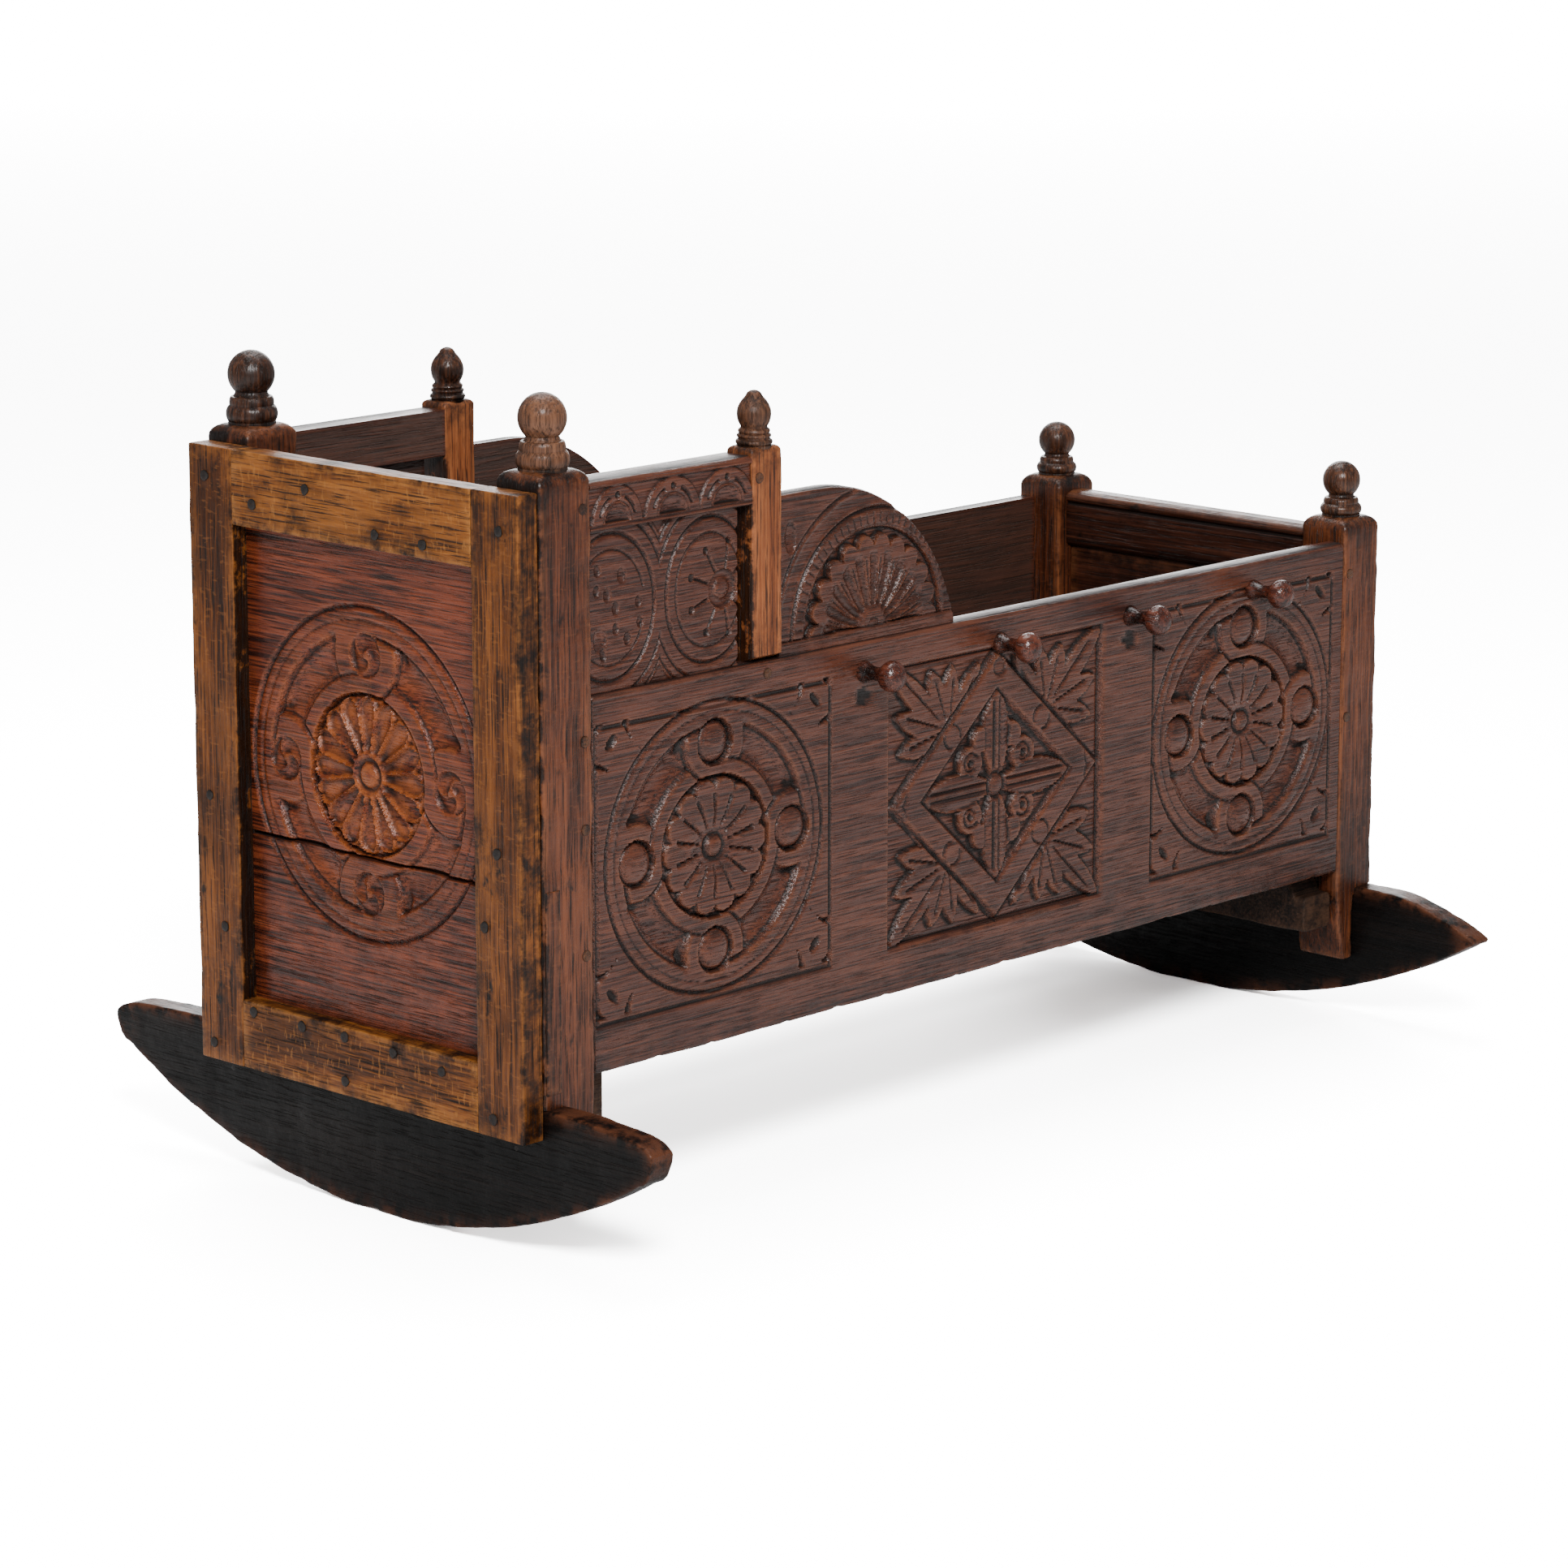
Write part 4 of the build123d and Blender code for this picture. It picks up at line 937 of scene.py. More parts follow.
# %% Lozenge
SPRAY = [(-44, 62, 7.0), (-12, 52, 8.5), (18, 58, 9.0), (42, 82, 9.5), (70, 50, 9.0), (98, 48, 8.0),
         (128, 58, 7.0)]  # each leaf's angle, length and half width


def spandrel_spray(x, z, half_x, half_z):
    """Leaves standing on a sunk ground, fanning out from the middle of the lozenge's side."""
    root = (half_x * 0.47, half_z * 0.47)
    edge = np.full_like(x, FAR)
    veins = np.zeros_like(x)
    for angle, length, half_width in SPRAY:
        outside, sideways, forward = leaf_edge(x, z, root, angle, length, half_width)
        inner_vein = v_cut(sideways - 1.5, 0.6 + 1.4 * forward, 2.4) * ease_in(forward - 0.1, 0.1)
        veins = np.where(outside < np.minimum(edge, 0), inner_vein * ease_in(0.84 - forward, 0.08), veins)
        edge = np.minimum(edge, np.abs(outside + 0.4) * np.sign(outside))
    return -3.8 * ease_in(edge, 1.6) + veins


def cross_and_scrolls(x, z, arm_x, arm_z):
    """Four ridged leaves along the axes, a boss where they meet, and a pair of scrolls in each quarter."""
    edge = np.full_like(x, FAR)
    height = np.zeros_like(x)
    for angle, length, half_width in ((0, arm_x, 13.0), (90, arm_z, 14.0)):
        outside, sideways, forward = leaf_edge(x, z, (0, 0), angle, length, half_width)
        edge = np.minimum(edge, outside)
        ridge = -0.16 * np.maximum(np.abs(sideways) - 2, 0) + v_cut(np.abs(sideways) - 3.2, 1.9, 2.4)
        height += np.where((outside < 0) & (forward > 0.1), ridge * ease_in(0.97 - forward, 0.12), 0)
    for centre, radius, eye in (((29, 20), 12.0, 3.4), ((17, 36), 9.0, 0.0)):
        q = np.hypot(x - centre[0], z - centre[1])
        spiral = np.arctan2(z - centre[1], x - centre[0])
        edge = np.minimum(edge, q - radius)
        if eye:
            height += v_cut(q - 6.5 - 0.6 * spiral, 1.6, 2.0) * (q < radius) * (np.abs(spiral) < 2.6)
            height += gouge(q, eye, 3.4)
    return np.minimum(-4.6 * ease_in(edge, 1.6), 0) + height


def lozenge_square(x, z, half_x, half_z):
    """The lozenge's lines have a constant sum of |x|/half_x and |z|/half_z."""
    across, up = np.abs(x), np.abs(z)
    to_mm = half_x * half_z / np.hypot(half_x, half_z)
    share = across / half_x + up / half_z
    outer = (share - 0.985) * to_mm
    inner = (share - 0.70) * to_mm
    height = v_cut(outer, 2.8, 3.6) + v_cut(inner, 1.8, 2.6)
    spray = spandrel_spray(across, up, half_x, half_z)
    spandrel = (outer > 0) & (np.maximum(across - half_x, up - half_z) < 0)
    height += np.where(spandrel, spray * ease_in(outer, 2), 0)
    field = cross_and_scrolls(across, up, 0.69 * half_x, 0.69 * half_z)
    height += np.where(inner < 0, field * ease_in(-inner, 2), 0)
    middle = np.hypot(across - 0.42 * half_x, up - 0.42 * half_z)
    nick = v_cut(middle - 9.0, 1.5, 1.8) * (np.abs(inner + (outer - inner) / 2) < 7)
    tip = np.hypot(across - 0.91 * half_x, (up - 8.0) * 0.8)
    nick += v_cut(tip - 7.5, 1.4, 1.5) * (across < 0.91 * half_x)
    height += np.where((outer < -2) & (inner > 2), nick, 0)
    centre = np.hypot(x, z)
    boss = np.where(centre < 8.0, dome(centre, 8.0, 3.4) + 0.3, -3.2 * (1 - ease_in(centre - 9, 4)))
    height = np.where(centre < 9.5, boss, np.minimum(height, boss))
    return height + border(x, z, half_x, half_z)


# %% [markdown]
# ## Side boards
#
# The three fields leave a plain strip above, where the knobs and the board's nails are, and a wider one
# below. The lower edge was never finished and has broken away in places, so its outline rises
# and falls. Where knobs once stood there are round plugs. The left board is the right one in
# reverse.

# %% Side boards
BOARD_THICK = 16.0
SQUARES = [(0.0, 238.0, "roundel"), (296.0, 534.0, "lozenge"), (590.0, 813.0, "roundel")]
FIELD_LOW, FIELD_HIGH = 32.0, 244.0
PLUG_DOWN = 40.0  # below the upper edge


def side_relief(x, z, length, height_over_all, plugs):
    """Height of a side board's face; x runs from its head end and z from its lower edge."""
    height = np.zeros_like(x)
    for start, stop, kind in SQUARES:
        middle_x, middle_z = (start + stop) / 2, (FIELD_LOW + FIELD_HIGH) / 2
        half_x, half_z = (stop - start) / 2, (FIELD_HIGH - FIELD_LOW) / 2 - 2
        if kind == "roundel":
            field = roundel_square(x - middle_x, z - middle_z, half_x - 3, half_z - 3, 4.0)
        else:
            field = lozenge_square(x - middle_x, z - middle_z, half_x - 2, half_z - 1)
        height += np.where((x > start - 4) & (x < stop + 4), field, 0)
    for plug in plugs:
        r = np.hypot(x - plug, z - (height_over_all - PLUG_DOWN))
        height = np.where(r < 8, -1.6 * ease_in(7.4 - r, 1.2), height)
    sides = np.minimum(x, length - x)
    height += edge_fall(sides, 1.2) + edge_fall(height_over_all - z, 3.2) + edge_fall(z, 2.4)
    return height - 0.35 * waver(x + 0.7 * z, 3, 160) * waver(z - 0.3 * x, 4, 90)


for side, sign in SIDES.items():
    name = f"side_board_{side}"
    x_span = (sizes(f"head_post_{side}")[0][1], sizes(f"foot_post_{side}")[0][0])
    _, y_span, z_span = sizes(name)
    length, tall = x_span[1] - x_span[0], z_span[1] - z_span[0]
    busy = [(start, stop) for start, stop, _ in SQUARES]
    x_lines = fine_lines(0, length, 1.48, 5.0, busy)
    z_lines = fine_lines(0, tall, 1.45, 3.0, [(FIELD_LOW, FIELD_HIGH + 4)])
    x, z = np.meshgrid(x_lines, z_lines, indexing="ij")
    knobs = [sum(sizes(f"lacing_knob_{side}_{n}")[0]) / 2 - x_span[0] for n in (1, 2, 3)]
    relief = side_relief(x, z, length, tall, knobs)
    ragged = 0.9 * waver(x, 11, 210) + 1.6 * np.clip(waver(x, 12, 61) * 2 - 1.35, 0, 1)
    up = z_span[0] + z + ragged * (1 - ease_in(z, FIELD_LOW * 0.8))
    # Darker towards the lower edge and towards both ends, next to the posts.
    darkening = 0.75 * np.exp(-z / 16) + 0.5 * np.exp(-np.minimum(x, length - x) / 7)
    carved_board(name, x + x_span[0], up, relief, BOARD_THICK, on_side(sign, y_span), BOARD,
                 darkening)
    print(f"{name}: deepest cut {-relief.min():.1f} mm")


# %% [markdown]
# ## Head panel
#
# The head's panel was cut from an older, larger carving and set behind the nailed frame. It has
# since split along the grain, so it is two boards with a dark gap, and the roundel runs across
# both. Its rosette is scooped into flutes.

# %% Head panel
panel_x, panel_y, _ = sizes("head_panel_upper")
frame_inner = sizes("head_stile_right")[1][1], sizes("head_stile_left")[1][0]
ROUNDEL_Z, PANEL_ROUNDEL = 317.0, 118.0
OPENING = 126.0  # half the frame's inner width


def on_head(face):
    """Board coordinates on the head end: out from the face is towards -X."""
    return lambda along, up, out: np.stack([face - out, along, up], axis=-1)


for part in ("upper", "lower"):
    name = f"head_panel_{part}"
    _, y_span, z_span = sizes(name)
    y_lines = fine_lines(y_span[0], y_span[1], 1.25, 1.25, [])
    carved = (ROUNDEL_Z - PANEL_ROUNDEL - 2, ROUNDEL_Z + PANEL_ROUNDEL + 2)
    z_lines = fine_lines(z_span[0], z_span[1], 1.25, 3.2, [carved])
    y, z = np.meshgrid(y_lines, z_lines, indexing="ij")
    relief = roundel(y, z - ROUNDEL_Z, PANEL_ROUNDEL, petals=16, fluted=True)
    split_edge = z - z_span[0] if part == "upper" else z_span[1] - z
    relief += edge_fall(split_edge, 1.6) - 0.4 * waver(y + z, 6, 150) * waver(z, 7, 80)
    # Darker along the lower board's bottom edge and over all the lower board, and painted shade along the
    # frame's inner edges, where the stiles stand proud of the panel.
    darkening = 0.7 * np.exp(-(z - z_span[0]) / 10) * (part == "lower") + 0.35 * np.exp(-(OPENING - np.abs(y)) / 8)
    darkening += 0.45 * (part == "lower")
    r = np.hypot(y, z - ROUNDEL_Z)
    heart = 1.1 * ease_in(60 - r, 6) + 0.35 * ease_in(116 - r, 6)
    carved_board(name, y, z, relief, panel_x[1] - panel_x[0], on_head(panel_x[0]), PANEL,
                 darkening, rubbed=heart, dirt_and_shade=0.8)


# %% [markdown]
# ## Hood rails
#
# Above each side board the hood has a rail of lunettes over a panel of two touching circles, and
# in front of the hood post an ear board with a fan. All of them are older carved work cut down to
# fit, so circles and arcs run off their edges. A lunette is an ellipse standing on a line, so its
# cuts are written in shares of its half width and height.

# %% Hood rails
RAIL_EASE = 5.0
ARCH_FOOT, ARCH_TALL = 4.0, 24.0
LUNETTES = [(26.0, 22.5), (79.0, 25.0), (131.5, 25.0)]  # middle and half width of each


def lunettes(x, z):
    """Three arches side by side, each with a scooped heart, two long nicks and a round one between."""
    height = np.zeros_like(x)
    arches = np.full_like(x, FAR)
    for centre, half in LUNETTES:
        u, v = (x - centre) / half, (z - ARCH_FOOT) / ARCH_TALL
        r, turn = np.hypot(u, v), np.arctan2(v, u)
        arches = np.minimum(arches, (r - 1.0) * ARCH_TALL)
        inside = (r < 1) & (v > 0)
        nicks = v_cut((r - 0.76) * ARCH_TALL, 2.0, 2.4) * (np.abs(np.abs(turn - np.pi / 2) - 0.85) < 0.45)
        eye = gouge(np.hypot(x - centre, z - ARCH_FOOT - 0.77 * ARCH_TALL), 2.6, 2.8)
        heart = gouge(np.hypot(u, np.minimum(v - 0.02, 0) * 3 + np.maximum(v, 0)) / 0.54, 1.0, 4.0)
        height += np.where(inside, nicks + eye + heart, 0)
        height += v_cut((r - 0.6) * ARCH_TALL, 1.4, 1.0) * (v > 0)
    height += -2.2 * ease_in(arches, 2.0) * ease_in(30 - z, 2) * ease_in(z - 3, 2)
    return height + v_cut(z - 3.0, 1.2, 0.9)


def even_grid(length, tall, pitch):
    """Board coordinates of a grid whose lines are a pitch apart both ways."""
    lines = [fine_lines(0, reach, pitch, pitch, []) for reach in (length, tall)]
    return np.meshgrid(*lines, indexing="ij")


for side, sign in SIDES.items():
    name = f"hood_rail_{side}"
    x_span = (sizes(f"head_post_{side}")[0][1], sizes(f"hood_post_{side}")[0][0])
    _, y_span, z_span = sizes(name)
    length, tall = x_span[1] - x_span[0], z_span[1] - z_span[0]
    x, z = even_grid(length, tall, 0.8)
    relief = lunettes(x, z) + edge_fall(tall - z, RAIL_EASE) + edge_fall(z, 1.0)
    carved_board(name, x + x_span[0], z + z_span[0], relief, y_span[1] - y_span[0],
                 on_side(sign, y_span), BOARD, 0.3 * np.exp(-z / 4))


# %% [markdown]
# ## Hood panels
#
# A hood panel is a thin board nailed behind the rail and let down into the side board. It has
# shrunk back from the hood post, so a slot of light shows at its end. Its circles are taller than
# wide, and what is left of an older rosette sits in the second. Scattered gouge marks fill the
# ground.

# %% Hood panels
PANEL_THICK = 10.0
RINGS_WIDE, RINGS_TALL, RINGS_Z = 42.0, 51.0, 57.0
GOUGE_MARKS = [(10, 84, 3.2), (9, 70, 3.0), (19, 66, 3.6), (27, 56, 3.4), (49, 58, 3.2), (12, 36, 6.5),
               (27, 42, 3.0), (50, 44, 3.0), (15, 25, 3.0), (38, 34, 3.4), (33, 78, 4.0)]


def touching_circles(x, z):
    """Two tall rings that meet, each with an inner line, and what is left of their rosettes."""
    height = np.zeros_like(x)
    distances = []
    for centre in (22.0, 117.5):
        r = np.hypot((x - centre) / RINGS_WIDE, (z - RINGS_Z) / RINGS_TALL)
        distances.append((r - 1) * 45)
        height += v_cut((r - 1) * 45, 2.2, 2.6)
        inner = v_cut((r - 0.78) * 45, 1.5, 1.5)
        height += inner * (np.abs(np.arctan2(z - RINGS_Z, x - centre)) > 0.35)
    first, second = distances
    nearest = np.minimum(first, second)
    for line in (11.0, 17.5):
        height += v_cut(nearest - line, 1.8, 2.0)
    height += -2.0 * ease_in(nearest - 18.5, 2.0)
    turn = np.arctan2(z - 56, x - 131)
    r = np.hypot(x - 131, z - 56)
    boss = np.where(r < 7.5, dome(r, 7.5, 3.0), gouge(r - 10, 4.0, 3.6))
    petals = v_cut(spoke_distance(r, turn, 9), 1.6, 2.2) * ease_in(r - 13, 3) * ease_in(32 - r, 4)
    petals += gouge(np.hypot(r - 33, spoke_distance(r, turn, 9)), 3.0, 2.4)
    height = np.where(r < 14, boss, height + np.where((r < 38) & (second < -8), petals, 0))
    for mark_x, mark_z, size in GOUGE_MARKS:
        height += gouge(np.hypot(x - mark_x, (z - mark_z) * 0.7), size, 2.2)
    return height


for side, sign in SIDES.items():
    name = f"hood_panel_{side}"
    x_span = (sizes(f"head_post_{side}")[0][1], sizes(name)[0][1])
    z_span = (sizes(f"side_board_{side}")[2][1], sizes(f"hood_rail_{side}")[2][0])
    length, tall = x_span[1] - x_span[0], z_span[1] - z_span[0]
    x, z = even_grid(length, tall, 0.9)
    relief = touching_circles(x, z) + edge_fall(length - x, 1.2) - 0.4 * waver(x + z, 8, 60)
    # Painted shade along three edges where other parts stand in front of the panel: the side board below, the
    # rail above and the head post at its end.
    darkening = 0.5 * np.exp(-z / 6) + 0.4 * np.exp(-(tall - z) / 5) + 0.3 * np.exp(-x / 8)
    face = max(np.abs(sizes(f"ear_board_{side}")[1])) - 1.0
    carved_board(name, x + x_span[0], z + z_span[0], relief, PANEL_THICK, on_side(sign, [face]), BOARD,
                 darkening)


# %% [markdown]
# ## Ear boards
#
# The ear board's outline is a short flat and one round sweep, so its grid is fitted to it: each
# grid line runs from a point on the base to the point that lies the same share of the way along
# the outline.

# %% Ear boards
EAR_RADIUS, EAR_TIP = 142.0, 9.0
FAN_AT = (98.0, 9.0)  # from the hood post and from the base
LEAVES = 11


def fan_relief(x, z):
    """A half-round fan about a point on its base: leaves, a nulled band and arcs round them."""
    r, turn = np.hypot(x, z), np.arctan2(z, x)
    tips = 57 + 9 * np.abs(np.cos(turn * LEAVES)) ** 0.6
    bend = turn + 0.30 * np.sign(np.pi / 2 - turn) * (1 - r / 66) * np.abs(np.cos(turn))
    height = -5.0 * ease_in(r - tips, 1.6) * ease_in(71.5 - r, 1.5)
    rib = spoke_distance(r, bend, 2 * LEAVES, 0.5)
    height += gouge(rib, 1.6 + 0.05 * np.minimum(r, 60), 3.0) * ease_in(r - 10, 8) * ease_in(56 - r, 10)
    crease = spoke_distance(r, bend, 2 * LEAVES)
    height += v_cut(crease, 1.2, 1.4) * ease_in(r - 26, 6) * ease_in(52 - r, 6)
    height += v_cut(r - 72, 1.6, 1.8) + v_cut(r - 85, 2.4, 3.0) + v_cut(r - 102, 2.0, 2.0)
    nulls = v_cut(spoke_distance(r, turn, 72), 1.3, 1.1) * ((r > 74.5) & (r < 82))
    height += nulls - 0.8 * ease_in(r - 87, 3) * ease_in(100 - r, 3)
    height += gouge(np.hypot(x + 86, (z - 74) * 0.5), 6, 2.8)
    height = np.where(z < 0, 0, height)
    hub = np.where(r < 6, dome(r, 6, 1.4), 0)
    return height + np.where(z > 0, hub, 0) + v_cut(z, 1.6, 1.6)


for side, sign in SIDES.items():
    name = f"ear_board_{side}"
    (_, right), y_span, (_, high) = sizes(name)
    left = sizes(f"hood_post_{side}")[0][1]
    low = sizes(f"side_board_{side}")[2][1]
    arc_z = high - EAR_RADIUS
    arc_x = right - np.sqrt(EAR_RADIUS**2 - (low - arc_z) ** 2)
    flat = arc_x - left
    last_turn = np.arcsin((low + EAR_TIP - arc_z) / EAR_RADIUS)
    sweep = (np.pi / 2 - last_turn) * EAR_RADIUS
    share = np.linspace(0, 1, BACK_PITCH * int((flat + sweep) / 4.4) + 1)
    run = share * (flat + sweep)
    turn = np.pi / 2 - np.maximum(run - flat, 0) / EAR_RADIUS
    top_x = np.where(run < flat, left + run, arc_x + EAR_RADIUS * np.cos(turn))
    top_z = np.where(run < flat, high, arc_z + EAR_RADIUS * np.sin(turn))
    base_x = left + (right - left) * share
    rise = np.linspace(0, 1, BACK_PITCH * 28 + 1)
    x = base_x[:, None] * (1 - rise) + top_x[:, None] * rise
    z = low * (1 - rise) + top_z[:, None] * rise
    to_top = (1 - rise) * (top_z - low)[:, None]
    relief = fan_relief(x - (left + FAN_AT[0]), z - (low + FAN_AT[1])) + edge_fall(to_top, 2.5)
    relief += edge_fall(right - x, 1.5) - 0.3 * waver(x + z, 9, 80)
    carved_board(name, x, z, relief, y_span[1] - y_span[0], on_side(sign, y_span), BOARD,
                 np.full_like(relief, 0.35))


# %% [markdown]
# ## Head frame
#
# The frame is newer and paler than the rest: quarter-sawn oak with ray flecks, nailed over the
# panel's edges with hand-made nails. Iron and damp have blackened it along its edges and round
# each nail, and the stiles' side walls are darkened with painted shade. `separate_boxes` finds
# where the nails are: it labels the corners of the CAD node's triangles, and lets the smallest
# label spread along the edges until each solid has one.

# %% Head frame
def separate_boxes(node):
    """The (low, high) corners in millimetres of each separate solid in a CAD node, one row each."""
    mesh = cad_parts[node].data
    places = np.empty(len(mesh.vertices) * 3)
    mesh.vertices.foreach_get("co", places)
    places = (places / MM).reshape(-1, 3)
    ends = np.empty(len(mesh.edges) * 2, np.int64)
    mesh.edges.foreach_get("vertices", ends)
    _, corner = np.unique(places.round(3), axis=0, return_inverse=True)
    ends = corner.ravel()[ends].reshape(-1, 2)
    label = np.arange(corner.max() + 1)
    while True:
        lowest = label.copy()
        for here, there in (ends.T, ends.T[::-1]):
            np.minimum.at(lowest, here, label[there])
        if (lowest == label).all():
            break
        label = lowest
    solid = label[corner.ravel()]
    return [(places[solid == n].min(axis=0), places[solid == n].max(axis=0)) for n in np.unique(solid)]


nails = [(low + high)[1:] / 2 for low, high in separate_boxes("frame_nails")]
print("frame nails:", len(nails))


def iron_stain_and_wall_shade(edge_axis, span, seed, front=None):
    """Black round each nail, in patches along the two edges across one axis and in smears down the stick;
    and painted shade on both side walls behind the front face, the one next to the panel most."""
    def stain_and_shade(points):
        y, z = points[:, 1], points[:, 2]
        near = np.min([np.hypot(y - u, (z - v) * 0.7) for u, v in nails], axis=0)
        to_edge = np.minimum(points[:, edge_axis] - span[0], span[1] - points[:, edge_axis])
        patches = np.exp(-to_edge / 6) * np.clip(waver(y + z, seed, 110) * 2 - 0.6, 0, 1)
        smears = np.clip(waver(z - 2 * y, seed + 3, 240) * 3 - 2.0, 0, 1)
        blackening = np.clip(0.9 * np.exp(-near / 8) + 1.3 * patches + 0.7 * smears, 0, 1)
        # Painted shade: the side walls behind the front face are darkened, the one next to the panel most.
        if front is not None:
            walls = np.clip((points[:, 0] - front - 0.5) / 2.5, 0, 1)
            for wall, depth in zip(sorted(span, key=abs), (4.0, 1.1)):
                blackening = np.maximum(blackening, np.exp(-np.abs(y - wall)) * walls * depth)
        return blackening
    return stain_and_shade


for side, sign in SIDES.items():
    name = f"head_stile_{side}"
    x, y, z = sizes(name)
    # Given the front face, the stiles also take painted shade on their side walls.
    timber(name, 2, x, y, z, FRAME_UP, "frame_oak", ends=(1.0, 1.2), ease=1.1, drift=0.5, side=9,
           stain_and_shade=iron_stain_and_wall_shade(1, y, 51 + sign, x[0]), seed=50 + sign)
for name, seed in (("head_top_rail", 54), ("head_bottom_rail", 57)):
    x, _, z = sizes(name)
    timber(name, 1, x, frame_inner, z, FRAME_ACROSS, "frame_oak", ends=(0.6, 0.6), ease=1.0, drift=0.4,
           side=9, stain_and_shade=iron_stain_and_wall_shade(2, z, seed), seed=seed)


# %% [markdown]
# ## Rockers
#
# Each rocker is a plank on edge. It is still a stick carried from end to end, but its section's
# lower edge follows a circle of 550 mm, with a short flat worn under the middle, and its upper
# edge falls away to the noses. The head rocker's noses are blunt, and its right one is worn
# shorter. The foot rocker's noses are pointed.

# %% Rockers
SOLE_RADIUS = 550.0
WORN_HALF = 30.0


def sole(y):
    """Height of a rocker's underside: a circle, cut level under the middle."""
    circle = SOLE_RADIUS - np.sqrt(SOLE_RADIUS**2 - np.maximum(np.abs(y), WORN_HALF) ** 2)
    return circle - (SOLE_RADIUS - np.sqrt(SOLE_RADIUS**2 - WORN_HALF**2))


def quarter_round(y, start, stop):
    """1 up to start, falling along a quarter circle to nearly 0 at stop."""
    share = np.clip((np.abs(y) - start) / (stop - start), 0, 0.985)
    return np.sqrt(1 - share**2)


def rocker_shape(seat, tip, shoulder, fall, power, nose, chin):
    """The section's edges in Z. The top is level with the seat as far as the shoulder, then drops by
    fall times a power of the distance. Top and sole meet at the tip's height, each along a quarter
    circle: the top's between the two distances of nose, the sole's between those of chin."""
    def shape(y, z, x):
        top = seat - fall * np.maximum(np.abs(y) - shoulder, 0) ** power
        top = tip + (top - tip) * quarter_round(y, *nose)
        low = tip - (tip - sole(np.minimum(np.abs(y), chin[0]))) * quarter_round(y, *chin)
        return [low, top], x
    return shape


def nose_wear(shape):
    """Bare wood where hands and feet have pushed: along the top beyond the posts, over the noses, and
    in chips along the sole. Each is an exponential fall from that edge of the section."""
    def wear(points):
        y, z = points[:, 1], points[:, 2]
        (low, top), _ = shape(y, z, z)
        bare = np.exp(-(top - z) / 3.0) * ease_in(np.abs(y) - 165, 20)
        tip = ease_in(np.abs(y) - 258, 22) * np.exp(-(top - z) / 14)
        chips = np.exp(-(z - low) / 2.5) * np.clip(waver(y, 61, 70) * 3 - 1.3, 0, 1)
        return 1.5 * np.max([bare, tip, chips], axis=0)
    return wear


NEAR_NOSE_LOST = 17.0  # how much shorter the head rocker has been worn on the right

head_x, head_y, head_z = sizes("rocker_head")
foot_x, foot_y, foot_z = sizes("rocker_foot")
whole = rocker_shape(head_z[1], tip=95.0, shoulder=190.0, fall=4.0 / 82**2, power=2.0,
                     nose=(262.0, 288.0), chin=(274.0, 288.0))
pointed = rocker_shape(foot_z[1], tip=82.0, shoulder=200.0, fall=6.0 / 38**1.67, power=1.67,
                       nose=(281.0, 288.0), chin=(283.0, 288.0))
stretch = head_y[1] / (head_y[1] - NEAR_NOSE_LOST)


def blunt(y, z_pair, x_pair):
    """The whole outline, with the right half drawn in so that it ends short."""
    return whole(np.where(y < 0, y * stretch, y), z_pair, x_pair)


for name, x, y, z, shape, seed in (
    ("rocker_head", head_x, (head_y[0] + NEAR_NOSE_LOST, head_y[1]), head_z, blunt, 60),
    ("rocker_foot", foot_x, foot_y, foot_z, pointed, 66),
):
    timber(name, 1, x, y, z, ROCKER, "rocker_oak", ends=(1.0, 1.0), ease=2.4, drift=0.7, pitch=4.0,
           shape=shape, side=9, wear=nose_wear(shape), seed=seed)


# %% [markdown]
# ## Foot end
#
# Two rails and a panel between the foot posts. The upper rail is moulded along its inner edge
# with a bead and a narrow groove, so it is its own outline carried from post to post.

